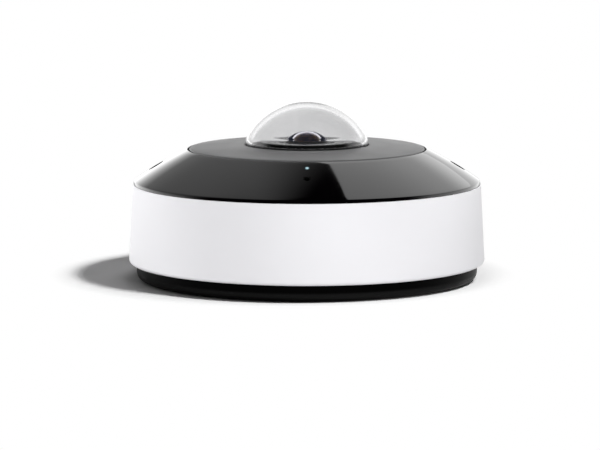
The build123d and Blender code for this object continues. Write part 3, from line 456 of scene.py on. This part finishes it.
def dome():
    outside = dome_side(dome_foot_radius, dome_ball_radius, dome_blend)
    inside = dome_side(dome_foot_radius - dome_wall, dome_ball_radius - dome_wall, dome_blend - dome_wall)
    outline = outside + [
        (dome_foot_radius, dome_flange_top),
        (dome_flange_radius, dome_flange_top),
        (dome_flange_radius, dome_flange_foot),
        (dome_foot_radius - dome_wall, dome_flange_foot),
    ]
    outline += reversed(inside)
    return turned("dome_glass", outline)


# Lens and baffle


def lens_baffle():
    bore = baffle_tube_radius - baffle_wall
    step = baffle_step_radius
    piece = turned(
        "lens_baffle_skin",
        [
            (bore, baffle_foot),
            (baffle_tube_radius, baffle_foot),
            (baffle_tube_radius, baffle_tube_top),
            (baffle_flare_radius, baffle_flare_low),
            (baffle_flare_radius, baffle_flare_low + baffle_flare_edge),
            (baffle_rim_radius, baffle_top),
            (step + baffle_step_width, baffle_top),
            (step + baffle_step_width, baffle_top - baffle_step_depth),
            (step, baffle_top - baffle_step_depth),
            (step, baffle_top),
            (baffle_slope_radius, baffle_top),
            (baffle_hole_radius, baffle_top - baffle_slope_depth),
            (baffle_hole_radius, baffle_top - baffle_wall),
            (bore, baffle_top - baffle_wall),
        ],
        rings=[(baffle_rim_radius, baffle_top, baffle_rim_round)],
    )
    for angle in baffle_tab_angles:
        x, y = on_circle(baffle_tab_circle, angle)
        tab = peg("tab", baffle_tab_radius, baffle_foot, baffle_foot + baffle_tab_height, x, y)
        inside = peg("inside", baffle_tube_radius - baffle_wall / 2, baffle_foot - overlap, baffle_top)
        combine(tab, inside, "DIFFERENCE")
        combine(piece, tab, "UNION")
    smooth(piece)
    return piece


def front_ball():
    """The radius and centre height of the ball that the front glass is a cap of."""
    ball_radius = (lens_radius**2 + lens_cap_height**2) / (2 * lens_cap_height)
    return ball_radius, lens_rim + lens_cap_height - ball_radius


def steepness(radius, ball_radius):
    """The angle in degrees, seen from a ball's centre, at which the ball has this radius."""
    return math.degrees(math.acos(radius / ball_radius))


def lens_barrel():
    """The barrel, with the thin lip that is rolled over the front glass to hold it."""
    head_bore = lens_radius + glass_play
    ball_radius, ball_centre = front_ball()
    lip_outside = ball_radius + lip_thickness
    lip_inside = ball_radius + glass_play
    outside_start = steepness(head_bore + lip_root, lip_outside)
    outside_end = steepness(lip_radius, lip_outside)
    inside_start = steepness(lip_radius, lip_inside)
    inside_end = steepness(head_bore, lip_inside)
    outline = [
        (barrel_bore_radius, barrel_foot),
        (barrel_neck_radius, barrel_foot),
        (barrel_neck_radius, barrel_head_foot),
        (barrel_head_radius, barrel_head_foot),
        (barrel_head_radius, lens_rim - barrel_head_bevel),
        (barrel_head_radius - barrel_head_bevel, lens_rim),
    ]
    outline += arc(0, ball_centre, lip_outside, outside_start, outside_end, steps=6)
    outline += arc(0, ball_centre, lip_inside, inside_start, inside_end, steps=6)
    outline += [
        (head_bore, lens_edge),
        (second_seat_radius, lens_edge),
        (second_seat_radius, second_seat),
        (barrel_bore_radius, second_seat),
    ]
    return turned("lens_barrel_skin", outline, segments=medium)


def front_lens():
    """The steep outer glass: a ball's cap over a smaller ball's hollow."""
    ball_radius, ball_centre = front_ball()
    top = lens_rim + lens_cap_height
    rim_angle = math.degrees(math.atan2(lens_rim - ball_centre, lens_radius))
    hollow_centre = top - hollow_depth_below_top - hollow_radius
    edge_angle = math.degrees(math.asin((lens_edge - hollow_centre) / hollow_radius))
    outline = arc(0, ball_centre, ball_radius, 90, rim_angle, steps=24)
    outline.append((lens_radius, lens_edge))
    outline += arc(0, hollow_centre, hollow_radius, edge_angle, 90, steps=24)
    return turned("front_lens_glass", outline, segments=medium)


def finish_faces(piece, finish, chosen):
    """Gives a second finish to the faces for which chosen is true."""
    piece.data.materials.append(finishes[finish])
    for face in piece.data.polygons:
        if chosen(face):
            face.material_index = 1


def blacken_lens_edge(piece):
    """The flat under side and the edge of the front glass are painted black, as on a real lens. The lower
    part of its hollow is painted black too, as painted shade for the dark barrel seen through the glass.
    """
    paint_top = (lens_rim + 0.01) * MM
    under_paint_inside = (hollow_radius - 1) * MM
    edge_paint_inside = (lens_radius - 0.1) * MM
    hollow_paint_top = (lens_rim - 0.1) * MM

    def painted(face):
        off_axis = math.hypot(face.center.x, face.center.y)
        level = max(piece.data.vertices[index].co.z for index in face.vertices)
        flat_under = face.normal.z < -0.99 and off_axis > under_paint_inside
        upright_edge = abs(face.normal.z) < 0.01 and off_axis > edge_paint_inside
        # Black on the lower hollow is painted shade, for the dark barrel seen through the glass.
        shade_painted_hollow = face.normal.z < 0 and level < hollow_paint_top
        return level < paint_top and (flat_under or upright_edge or shade_painted_hollow)

    finish_faces(piece, "lens_black", painted)


def line_microphone_hole(piece):
    """The wall of the microphone's hole is dull, because the boot's rubber lines it."""
    axis = Vector((0, microphone_y * MM, 0))
    hole_reach = (microphone_radius + 0.02) * MM

    def in_hole(face):
        off_axis = Vector((face.center.x, face.center.y, 0)) - axis
        return off_axis.length < hole_reach

    finish_faces(piece, "base_black", in_hole)


def dull_baffle_wall(piece):
    """The baffle's flared wall is duller than its top, so that it throws no light back at the lens."""
    wall_top = (baffle_top - 0.4) * MM
    wall_inside = (baffle_rim_radius - 0.2) * MM

    def on_wall(face):
        return face.center.z < wall_top and math.hypot(face.center.x, face.center.y) > wall_inside

    finish_faces(piece, "baffle_wall", on_wall)


# Shader maths


class Value:
    """A socket that takes part in Python sums."""

    def __init__(self, recipe, socket):
        self.recipe = recipe
        self.socket = socket

    def __add__(self, other):
        return self.recipe.sum("ADD", self, other)

    def __radd__(self, other):
        return self.recipe.sum("ADD", other, self)

    def __sub__(self, other):
        return self.recipe.sum("SUBTRACT", self, other)

    def __rsub__(self, other):
        return self.recipe.sum("SUBTRACT", other, self)

    def __mul__(self, other):
        return self.recipe.sum("MULTIPLY", self, other)

    def __rmul__(self, other):
        return self.recipe.sum("MULTIPLY", other, self)


class Recipe:
    """One material, lamp or world, and its nodes."""

    def __init__(self, owner):
        owner.use_nodes = True
        owner.node_tree.nodes.clear()
        self.owner = owner
        self.tree = owner.node_tree

    def node(self, kind, settings=None, output=0, **inputs):
        """Adds a node. Its settings are made first, then its inputs, whose names have _ for spaces."""
        made = self.tree.nodes.new(kind)
        for key, value in (settings or {}).items():
            setattr(made, key, value)
        for key, value in inputs.items():
            socket = self.find(made.inputs, key)
            if isinstance(value, Value):
                self.tree.links.new(value.socket, socket)
            else:
                socket.default_value = value
        if len(made.outputs) == 0:
            return None
        return Value(self, made.outputs[output])

    def find(self, sockets, key):
        """A socket by its name, or by its number where the key is input_ and a number."""
        if key.startswith("input_"):
            return sockets[int(key[6:])]
        return sockets[key.replace("_", " ")]

    def sum(self, operation, first, second):
        return self.node("ShaderNodeMath", {"operation": operation}, input_0=first, input_1=second)

    def largest(self, first, second):
        return self.sum("MAXIMUM", first, second)

    def above(self, value, limit):
        """1 where the value is above the limit, otherwise 0."""
        return self.sum("GREATER_THAN", value, limit)

    def clamp(self, value):
        return self.node("ShaderNodeClamp", Value=value)

    def coordinates(self):
        return self.node("ShaderNodeTexCoord", output="Object")

    def split(self, vector):
        """The three parts of a vector."""
        first = self.node("ShaderNodeSeparateXYZ", input_0=vector)
        return [Value(self, part) for part in first.socket.node.outputs]

    def height(self):
        """The height above the mounting side, in metres."""
        return self.split(self.coordinates())[2]

    def distance(self, x, y):
        """The distance from an upright axis, in metres."""
        here = self.coordinates()
        flat = self.node("ShaderNodeVectorMath", {"operation": "MULTIPLY"}, input_0=here, input_1=(1, 1, 0))
        return self.node(
            "ShaderNodeVectorMath",
            {"operation": "DISTANCE"},
            output="Value",
            input_0=flat,
            input_1=(x, y, 0),
        )

    def noise(self, scale, detail=2.0, rough=0.5, coordinates=None):
        """Soft spots, with scale in waves a metre."""
        place = coordinates or self.coordinates()
        return self.node("ShaderNodeTexNoise", Vector=place, Scale=scale, Detail=detail, Roughness=rough)

    def spread(self, value, low, high, to_low=0.0, to_high=1.0):
        """Maps a range of a value to another, with a smooth start and end."""
        return self.node(
            "ShaderNodeMapRange",
            {"interpolation_type": "SMOOTHSTEP"},
            Value=value,
            From_Min=low,
            From_Max=high,
            To_Min=to_low,
            To_Max=to_high,
        )

    def blend(self, share, first, second):
        """A colour between two, by share."""
        kind = {"data_type": "RGBA"}
        return self.node("ShaderNodeMix", kind, output=2, input_0=share, input_6=first, input_7=second)

    def clouded(self, cloud, first, second):
        """A colour that drifts between two with the cloud."""
        return self.blend(self.spread(cloud, *cloud_middle), first, second)

    def bump(self, height, strength, depth):
        """Relief, with its depth in millimetres."""
        return self.node("ShaderNodeBump", Height=height, Strength=strength, Distance=depth * MM)

    def grain(self, scale, depth, rough=0.6):
        """The fine grain of a moulded surface."""
        return self.bump(self.noise(scale, 2.0, rough), 1.0, depth)

    def ray(self, fact):
        """A fact about the ray, such as whether the camera sent it."""
        return self.node("ShaderNodeLightPath", output=fact)

    def principled(self, **inputs):
        return self.node("ShaderNodeBsdfPrincipled", **inputs)

    def see_through(self, level):
        return self.node("ShaderNodeBsdfTransparent", Color=grey(level))

    def mix(self, share, first, second):
        """One of two shaders, or between them, by share."""
        return self.node("ShaderNodeMixShader", input_0=share, input_1=first, input_2=second)

    def surface(self, shader):
        self.node("ShaderNodeOutputMaterial", Surface=shader)
        return self.owner


def material(name):
    return Recipe(bpy.data.materials.new(name))


def colour(red, green, blue):
    return (red, green, blue, 1.0)


def grey(level):
    return colour(level, level, level)


def shaded(base, share):
    return colour(*[channel * share for channel in base])


# Finishes

# A cloud's values lie round 0.5. These are the stretches over which a finish drifts.
cloud_middle = (0.3, 0.7)
cloud_most = (0.25, 0.75)
cloud_all = (0.2, 0.8)


def moulded(name, base, roughness, grain=1500.0, depth=0.02, mottle=0.06, specular=0.5):
    """Moulded plastic or rubber: fine grain, slightly uneven gloss and faint cloudiness."""
    recipe = material(name)
    cloud = recipe.noise(35.0, detail=3.0)
    smoothest = roughness * 0.9
    roughest = min(roughness * 1.12, 1.0)
    shader = recipe.principled(
        Base_Color=recipe.clouded(cloud, shaded(base, 1 - mottle), colour(*base)),
        Roughness=recipe.spread(cloud, *cloud_most, smoothest, roughest),
        Normal=recipe.grain(grain, depth),
        Specular_IOR_Level=specular,
    )
    return recipe.surface(shader)


def metal(name, base, roughness, streaks=(1, 1, 1), grain=900.0, depth=0.004):
    """Plated, drawn or cast metal: grain that streaks may stretch along an axis, and faint tarnish."""
    recipe = material(name)
    place = recipe.node("ShaderNodeMapping", Vector=recipe.coordinates(), Scale=streaks)
    lines = recipe.noise(grain, 3.0, 0.6, place)
    tarnish = recipe.spread(recipe.noise(120.0, detail=3.0), 0.35, 0.7)
    smoothest = roughness * 0.8
    roughest = min(roughness * 1.25, 1.0)
    shader = recipe.principled(
        Base_Color=recipe.blend(tarnish, colour(*base), shaded(base, 0.78)),
        Metallic=1.0,
        Roughness=recipe.spread(lines, *cloud_middle, smoothest, roughest),
        Normal=recipe.bump(lines, 1.0, depth),
    )
    return recipe.surface(shader)


def polished_window():
    """Black polished plastic that passes infrared, with faint handling haze."""
    recipe = material("polished_black_window")
    haze = recipe.noise(28.0, detail=4.0, rough=0.55)
    wave = recipe.noise(60.0, detail=1.0)
    deep_black = colour(0.0005, 0.0004, 0.0006)
    hazy_black = colour(0.0009, 0.0006, 0.0009)
    shader = recipe.principled(
        Base_Color=recipe.clouded(haze, deep_black, hazy_black),
        Roughness=recipe.spread(haze, 0.4, 0.75, 0.045, 0.075),
        Normal=recipe.bump(wave, 0.06, 0.02),
        IOR=1.5,
    )
    return recipe.surface(shader)


def clear_plastic(name, tint, roughness=0.0, ior=1.49, specular=0.5):
    """Clear plastic that mirrors and tints, and throws only a faint shadow."""
    recipe = material(name)
    haze = recipe.noise(40.0, detail=3.0)
    shader = recipe.principled(
        Base_Color=recipe.clouded(haze, colour(*tint), shaded(tint, 0.99)),
        Roughness=roughness,
        Transmission_Weight=1.0,
        IOR=ior,
        Specular_IOR_Level=specular,
    )
    return recipe.surface(recipe.mix(recipe.ray("Is Shadow Ray"), shader, recipe.see_through(0.85)))


def coated_glass():
    """Lens glass with a thin anti-reflection coating."""
    recipe = material("coated_lens_glass")
    haze = recipe.noise(90.0)
    shader = recipe.principled(
        Base_Color=recipe.blend(haze, colour(0.93, 0.90, 0.95), colour(0.90, 0.88, 0.94)),
        Roughness=0.0,
        Transmission_Weight=1.0,
        IOR=1.7,
        Thin_Film_Thickness=146.0,
        Thin_Film_IOR=1.38,
    )
    return recipe.surface(shader)


def circuit_board():
    """Green solder mask, darker away from its fine tracks, with small pale pads."""
    recipe = material("green_circuit_board")
    place = recipe.coordinates()
    edges = {"feature": "DISTANCE_TO_EDGE", "distance": "EUCLIDEAN"}
    tracks = recipe.node("ShaderNodeTexVoronoi", edges, Vector=place, Scale=420.0, Randomness=0.35)
    pads = recipe.node("ShaderNodeTexVoronoi", Vector=place, Scale=700.0)
    off_track = recipe.spread(tracks, 0.05, 0.09)
    off_pad = recipe.spread(pads, 0.16, 0.22)
    mask = recipe.blend(off_track, colour(0.035, 0.20, 0.085), colour(0.012, 0.095, 0.042))
    shader = recipe.principled(
        Base_Color=recipe.blend(off_pad, colour(0.55, 0.50, 0.38), mask),
        Roughness=recipe.spread(recipe.noise(500.0), *cloud_middle, 0.28, 0.42),
        Normal=recipe.bump(off_track, 0.5, 0.02),
    )
    return recipe.surface(shader)


def glowing_pipe():
    """The light pipe's clear resin, brightest over the status light below it."""
    recipe = material("lit_light_pipe")
    unevenness = 0.0002
    bright_radius = 0.4 * MM
    dim_radius = 1.0 * MM
    off_axis = recipe.distance(0, light_y * MM) + unevenness * recipe.noise(900.0)
    off_core = recipe.spread(off_axis, bright_radius, dim_radius)
    shader = recipe.principled(
        Base_Color=recipe.blend(off_core, colour(0.2, 0.3, 0.33), colour(0.01, 0.02, 0.025)),
        Roughness=0.18,
        Emission_Color=recipe.blend(off_core, colour(0.50, 0.72, 0.78), colour(0.010, 0.035, 0.045)),
        Emission_Strength=0.6,
    )
    return recipe.surface(shader)


def woven_mesh():
    """The microphone's fine black cloth."""
    recipe = material("woven_membrane")
    place = recipe.coordinates()
    warp = recipe.node("ShaderNodeTexWave", {"bands_direction": "X"}, Vector=place, Scale=1600.0)
    weft = recipe.node("ShaderNodeTexWave", {"bands_direction": "Y"}, Vector=place, Scale=1600.0)
    shader = recipe.principled(
        Base_Color=recipe.blend(warp * weft, grey(0.002), colour(0.012, 0.012, 0.013)),
        Roughness=0.8,
        Specular_IOR_Level=0.08,
        Normal=recipe.bump(warp + weft, 0.6, 0.05),
    )
    return recipe.surface(shader)


def trim_plastic():
    """Matte grey plastic, its colour painted paler beside the dome as a painted highlight for the light it
    catches there.
    """
    recipe = material("trim_matte_plastic")
    cloud = recipe.noise(35.0, detail=3.0)
    off_axis = recipe.distance(0, 0)
    # Painted highlight: the colour is paler towards the dome's foot.
    painted_sheen = recipe.spread(off_axis, trim_inner_radius * MM, trim_painted_sheen_radius * MM, 1.0, 0.0)
    painted_sheen = painted_sheen * recipe.spread(cloud, *cloud_all, 0.8, 1.0)
    shader = recipe.principled(
        Base_Color=recipe.blend(painted_sheen, colour(0.092, 0.092, 0.094), colour(0.15, 0.15, 0.153)),
        Roughness=recipe.spread(cloud, *cloud_most, 0.38, 0.46),
        Normal=recipe.grain(1800.0, 0.02),
        Specular_IOR_Level=0.35,
    )
    return recipe.surface(shader)


def baffle_plastic():
    """Black plastic that is glossier on its flat top."""
    recipe = material("baffle_black_plastic")
    sheen_start = (baffle_top - 0.35) * MM
    sheen_full = (baffle_top - 0.1) * MM
    sheen = 0.42
    on_top = recipe.spread(recipe.height(), sheen_start, sheen_full)
    cloud = recipe.noise(60.0, detail=3.0)
    shader = recipe.principled(
        Base_Color=recipe.clouded(cloud, grey(0.003), grey(0.0045)),
        Roughness=recipe.spread(cloud, *cloud_middle, 0.62, 0.66) - on_top * sheen,
        Normal=recipe.grain(1800.0, 0.006, rough=0.5),
    )
    return recipe.surface(shader)


def base_plastic():
    """Black housing plastic, with a painted highlight: a faint paler line round its rounded lower edge."""
    recipe = material("base_black_plastic")
    cloud = recipe.noise(35.0, detail=3.0)
    height = recipe.height()
    line_foot = recipe.spread(height, highlight_begins[0] * MM, highlight_begins[1] * MM)
    line_top = recipe.spread(height, highlight_ends[0] * MM, highlight_ends[1] * MM, 1.0, 0.0)
    # Painted highlight: the colour is paler along a line on the rounded lower edge.
    painted_highlight = line_foot * line_top * recipe.spread(cloud, *cloud_all, 0.85, 1.0)
    shader = recipe.principled(
        Base_Color=recipe.blend(painted_highlight, grey(0.0004), grey(0.0058)),
        Roughness=recipe.spread(cloud, *cloud_most, 0.31, 0.38),
        Normal=recipe.grain(1200.0, 0.01),
        Specular_IOR_Level=0.02,
    )
    return recipe.surface(shader)


# A plastic's numbers are its roughness, its grain in waves a metre and the grain's depth in millimetres.
# A metal's are its roughness, how much the grain is drawn together along each axis, and the same two.
finishes = {
    "base_black": base_plastic(),
    "shroud_white": moulded("shroud_white_plastic", (0.84, 0.835, 0.86), 0.40, 1600.0, 0.012, mottle=0.015),
    "window_black": polished_window(),
    "trim_grey": trim_plastic(),
    "dome_clear": clear_plastic("clear_dome_plastic", (0.845, 0.845, 0.85), specular=0.02),
    "lens_glass": coated_glass(),
    "lens_black": moulded("black_anodised_barrel", (0.012, 0.012, 0.013), 0.3, 2200.0, 0.006),
    "baffle_black": baffle_plastic(),
    "baffle_wall": moulded("baffle_matte_wall", (0.004, 0.004, 0.004), 0.75, 1800.0, 0.006, specular=0.08),
    "seal_rubber": moulded("black_rubber", (0.014, 0.014, 0.014), 0.75, 900.0, 0.03),
    "seal_silicone": moulded("grey_silicone", (0.28, 0.29, 0.31), 0.5, 700.0, 0.02),
    "plate_black": moulded("plate_grained_plastic", (0.02, 0.02, 0.021), 0.55, 1100.0, 0.04),
    "circuit_green": circuit_board(),
    "chip_black": moulded("chip_epoxy", (0.018, 0.018, 0.019), 0.6, 3000.0, 0.01),
    "nickel": metal("nickel_plate", (0.62, 0.60, 0.56), 0.28, (1, 8, 1)),
    "screw_steel": metal("zinc_plated_steel", (0.42, 0.42, 0.43), 0.32),
    "brass": metal("turned_brass", (0.72, 0.52, 0.24), 0.3, (1, 1, 12)),
    "copper": metal("enamelled_copper", (0.62, 0.28, 0.13), 0.35, (12, 1, 12)),
    "gold": metal("gold_plate", (0.88, 0.66, 0.28), 0.22),
    "chassis_alloy": metal("cast_alloy", (0.58, 0.59, 0.60), 0.45, (1, 1, 1), 500.0, 0.02),
    "can_alloy": metal("drawn_can_alloy", (0.66, 0.67, 0.68), 0.25, (1, 1, 10)),
    "pad_grey": moulded("thermal_pad", (0.32, 0.38, 0.46), 0.8, 700.0, 0.04),
    "ribbon_amber": moulded("polyimide_ribbon", (0.45, 0.19, 0.04), 0.25, 1500.0, 0.004),
    "connector_cream": moulded("connector_nylon", (0.62, 0.58, 0.48), 0.5, 1500.0, 0.01),
    "card_black": moulded("card_plastic", (0.015, 0.015, 0.016), 0.4, 2000.0, 0.01),
    "button_black": moulded("button_plastic", (0.02, 0.02, 0.02), 0.4, 2000.0, 0.01),
    "emitter_clear": clear_plastic("emitter_resin", (0.95, 0.94, 0.88), roughness=0.05, ior=1.52),
    "light_white": glowing_pipe(),
    "membrane_black": woven_mesh(),
}
slot_of_node = {part["node"]: part["material_slot"] for part in frame["record"]["subparts"]}


def put_in_place(piece, node, body):
    """A new piece stands for a CAD node, rides on its body and takes its finish."""
    piece.data.materials.clear()
    piece.data.materials.append(finishes[slot_of_node[node]])
    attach(piece, body)
    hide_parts(node)


for name, node in nodes.items():
    for material_slot in node.material_slots:
        material_slot.material = finishes[slot_of_node[name]]

put_in_place(white_shroud(), "white_shroud", "cover")
window_piece = ir_window()
put_in_place(window_piece, "ir_window", "cover")
line_microphone_hole(window_piece)
put_in_place(trim_ring(), "trim_ring", "cover")
dome_piece = dome()
put_in_place(dome_piece, "dome", "cover")
baffle_piece = lens_baffle()
put_in_place(baffle_piece, "lens_baffle", "base")
dull_baffle_wall(baffle_piece)
put_in_place(lens_barrel(), "lens_barrel", "base")
front_glass = front_lens()
put_in_place(front_glass, "front_lens", "base")
blacken_lens_edge(front_glass)


# Floor

# Lengths from here on are in metres.
floor_half = 6.0

# Between these distances from this place, the floor with its shadow turns into plain white.
floor_centre = (-0.010, 0.015)
shadow_fade_start = 0.084
shadow_fade_end = 0.100


def floor_material():
    """A white floor with a shadow near the object, plain white further out and open from below."""
    recipe = material("white_floor")
    seen = recipe.clamp(
        recipe.ray("Is Camera Ray") + recipe.ray("Is Glossy Ray") + recipe.ray("Is Transmission Ray")
    )
    far = recipe.spread(recipe.distance(*floor_centre), shadow_fade_start, shadow_fade_end)
    dim_paper = recipe.node("ShaderNodeBsdfDiffuse", Color=grey(0.34))
    seen_paper = recipe.node("ShaderNodeBsdfDiffuse", Color=grey(0.64))
    plain_white = recipe.node("ShaderNodeEmission", Color=grey(1), Strength=1.0)
    near_floor = recipe.mix(seen, dim_paper, seen_paper)
    top = recipe.mix(far * seen, near_floor, plain_white)
    from_below = recipe.node("ShaderNodeNewGeometry", output="Backfacing")
    return recipe.surface(recipe.mix(from_below, top, recipe.see_through(1)))


clear_selection()
bpy.ops.mesh.primitive_plane_add(size=2 * floor_half, location=(0, 0, 0))
floor = bpy.context.object
floor.name = "floor"
floor.data.materials.append(floor_material())


# Surroundings

# Level of the light from all round that falls on the object
world_level = 0.25

# Levels that gloss sees in the low wall of light, at the floor and higher up
wall_foot_level = 1.8
wall_level = 1.2

# A mirrored ray that crossed more clear surfaces than these was mirrored under the dome, or in the lens.
crossed_under_dome = 3.5
crossed_in_lens = 5.5


def mirrored_walls(recipe, across, along, up):
    """What gloss sees: a low wall of light, a dimmer and taller one on the left, and darkness in front."""
    # Each of these is 0 or 1, or between them: whether the ray goes left, right, or low to the left.
    left = recipe.spread(across, -0.05, -0.15)
    right = recipe.spread(across, 0.2, 0.35)
    low_left = left * recipe.spread(up, 0.30, 0.14)

    # The low wall fades out upwards, a little lower on the left. It is brighter on the right and low left.
    fade_start = 0.28 - 0.05 * left
    fade_end = 0.56 - 0.06 * left
    low_wall = recipe.spread(up, fade_start, fade_end, 1.0, 0.0)
    low_wall = low_wall * recipe.spread(up, 0.0, 0.34, wall_foot_level, wall_level)
    low_wall = low_wall * (1 + 0.25 * right + 0.4 * low_left)

    # Straight behind, the wall's upper part is darker. The trim ring's front mirrors it.
    middle = recipe.spread(across * across, 0.004, 0.02, 1.0, 0.0)
    low_wall = low_wall * (1 - 0.8 * middle * recipe.spread(up, 0.12, 0.32))

    # The wall on the left begins softly, further to the right the more the ray goes back.
    left_edge = 0.5 * along - 0.10
    left_wall = recipe.spread(across, left_edge, -0.24) * recipe.spread(up, 0.5, 0.85, 0.5, 0.71)
    left_wall = left_wall * recipe.spread(along, 0.2, 0.45, 0.88, 1.0)
    return recipe.largest(low_wall, left_wall) * recipe.spread(along, -0.3, 0.1)


def studio_world():
    """White where it is seen, walls of light for gloss, other levels for what clear pieces mirror."""
    world = bpy.data.worlds.new("studio")
    bpy.context.scene.world = world
    recipe = Recipe(world)
    glossy = recipe.ray("Is Glossy Ray")
    through = recipe.ray("Is Transmission Ray")
    crossed = recipe.ray("Transmission Depth")
    mirrored = recipe.above(recipe.ray("Glossy Depth"), 0.5)

    # Rays that have bounced off something dull see the plain level alone.
    direct = 1 - recipe.above(recipe.ray("Diffuse Depth"), 0.5)

    # The parts of the ray's direction: to the right, towards the back, and up
    across, along, up = recipe.split(recipe.node("ShaderNodeTexCoord", output="Generated"))
    bright = mirrored_walls(recipe, across, along, up)
    behind = recipe.spread(along, 0.2, 0.7) * recipe.spread(up, 0.0, 0.3, 0.35, 1.25)

    seen = recipe.clamp(recipe.ray("Is Camera Ray") + through * (1 - mirrored) * direct)
    inner = recipe.above(crossed, crossed_under_dome)
    in_dome_wall = through * mirrored * (1 - inner) * direct
    under_dome = through * mirrored * inner * direct
    outside = glossy * (1 - through) * direct
    other = recipe.clamp(1 - seen - in_dome_wall - under_dome - outside)

    # Under the dome, things mirror what is straight behind, and the lens a little light from all round.
    straight_behind = behind * recipe.spread(across * across, 0.005, 0.05, 1.0, 0.3)
    all_round = 0.35 + 1.1 * recipe.above(crossed, crossed_in_lens)
    inner_light = recipe.largest(recipe.largest(straight_behind, bright * 0.65), all_round)

    mirrored_light = in_dome_wall * behind + under_dome * inner_light + outside * bright
    strength = seen + mirrored_light + other * world_level
    background = recipe.node("ShaderNodeBackground", Color=grey(1), Strength=strength)
    recipe.node("ShaderNodeOutputWorld", Surface=background)


studio_world()


# Lamps


def soft_light(name, centre, target, size, level, in_gloss=False):
    """A rectangular lamp that faces its target. Its level is the brightness of its face."""
    width, length = size
    lamp = bpy.data.lights.new(name, "AREA")
    lamp.shape = "RECTANGLE"
    lamp.size = width
    lamp.size_y = length
    lamp.energy = level * math.pi * width * length
    lit = bpy.data.objects.new(name, lamp)
    bpy.context.scene.collection.objects.link(lit)
    lit.location = centre
    facing = Vector(target) - Vector(centre)
    lit.rotation_euler = facing.to_track_quat("-Z", "Y").to_euler()
    lit.visible_camera = False
    lit.visible_transmission = False
    lit.visible_glossy = in_gloss
    return lit


def gather(name, pieces, state="INCLUDE"):
    """A collection of pieces that a lamp's light takes in or, with EXCLUDE, leaves out."""
    group = bpy.data.collections.new(name)
    for piece in pieces:
        group.objects.link(piece)
    for member in group.collection_objects:
        member.light_linking.link_state = state
    return group


def leave_out(lamp, piece):
    """The lamp lights everything but this piece."""
    lamp.light_linking.receiver_collection = gather("left_out_of_" + lamp.name, [piece], "EXCLUDE")


def fade_face(lamp, start, end, end_level):
    """The lamp's face grows dimmer towards the back."""
    recipe = Recipe(lamp.data)
    place = recipe.node("ShaderNodeNewGeometry", output="Position")
    level = recipe.spread(recipe.split(place)[1], start, end, 1.0, end_level)
    face = recipe.node("ShaderNodeEmission", Color=grey(1), Strength=level)
    recipe.node("ShaderNodeOutputLight", Surface=face)


# The soft box hangs level above the right, and its left edge is what the window mirrors at its front.
softbox_turn = math.radians(14.3)
softbox_width = 1.5
softbox_length = 3.2
softbox_corner = Vector((0.268, -0.1, 1.0))
edge_way = Vector((-math.sin(softbox_turn), math.cos(softbox_turn), 0))
side_way = Vector((math.cos(softbox_turn), math.sin(softbox_turn), 0))
softbox_centre = softbox_corner + edge_way * softbox_length / 2 + side_way * softbox_width / 2
softbox_target = softbox_centre - Vector((0, 0, 1))
softbox_size = (softbox_width, softbox_length)
softbox = soft_light(
    "right_softbox", softbox_centre, softbox_target, softbox_size, level=1.9, in_gloss=True
)
softbox.rotation_euler = (0, 0, softbox_turn)
softbox.visible_diffuse = False
leave_out(softbox, dome_piece)
fade_face(softbox, start=0.6, end=2.9, end_level=0.32)

object_foot = (0, 0, 0)
key_distance = 1.3
key_elevation = math.radians(54.5)
key_turn = math.radians(-40)
key_size = (0.17, 0.17)
key_across = math.cos(key_elevation)
key_place = key_distance * Vector((
    key_across * math.cos(key_turn),
    key_across * math.sin(key_turn),
    math.sin(key_elevation),
))
soft_light("key", key_place, object_foot, key_size, level=50.0)

# Three long low lamps light the white band. The floor takes no light from them.
# Each has its name, place, size and level.
band_middle = (0, 0, 0.03)
fill_lamps = [
    ("front_fill", (0.18, -1.6, 0.30), (1.5, 0.4), 8.9),
    ("left_fill", (-1.41, 0.60, 0.12), (0.9, 0.25), 27.0),
    ("right_fill", (1.45, 0.45, 0.12), (0.9, 0.25), 1.5),
]
for name, centre, size, level in fill_lamps:
    leave_out(soft_light(name, centre, band_middle, size, level), floor)

# The floor has a lamp of its own beside the key, so that it stays white round the shadow.
floor_lamp = soft_light("floor_lamp", key_place, object_foot, key_size, level=176.0)
floor_lamp.light_linking.receiver_collection = gather("lit_by_floor_lamp", [floor])

# A lamp under the floor shows the mounting side in views from below. The floor doesn't block it.
mounting_side = ("base_housing", "mounting_plate", "ceiling_gasket", "cable_grommet", "network_jack")
under_lamp = soft_light("under_lamp", (0.4, -0.6, -1.0), object_foot, (0.6, 0.6), level=9.0)
lit_from_below = gather("lit_from_below", [nodes[name] for name in mounting_side])
under_lamp.light_linking.receiver_collection = lit_from_below
under_lamp.light_linking.blocker_collection = gather("blocks_under_lamp", [floor], "EXCLUDE")


# Camera

camera_distance = 1.65
camera_elevation = math.radians(7.35)
camera_target = Vector((-0.0029, 0.0, 0.0227))
camera_data = bpy.data.cameras.new("camera")
camera_data.lens = 234.7
camera_data.sensor_width = 36.0
camera = bpy.data.objects.new("camera", camera_data)
bpy.context.scene.collection.objects.link(camera)
back = Vector((0, -math.cos(camera_elevation), math.sin(camera_elevation)))
camera.location = camera_target + camera_distance * back
camera.rotation_euler = (-back).to_track_quat("-Z", "Y").to_euler()
bpy.context.scene.camera = camera
bpy.context.scene.view_settings.view_transform = "Standard"
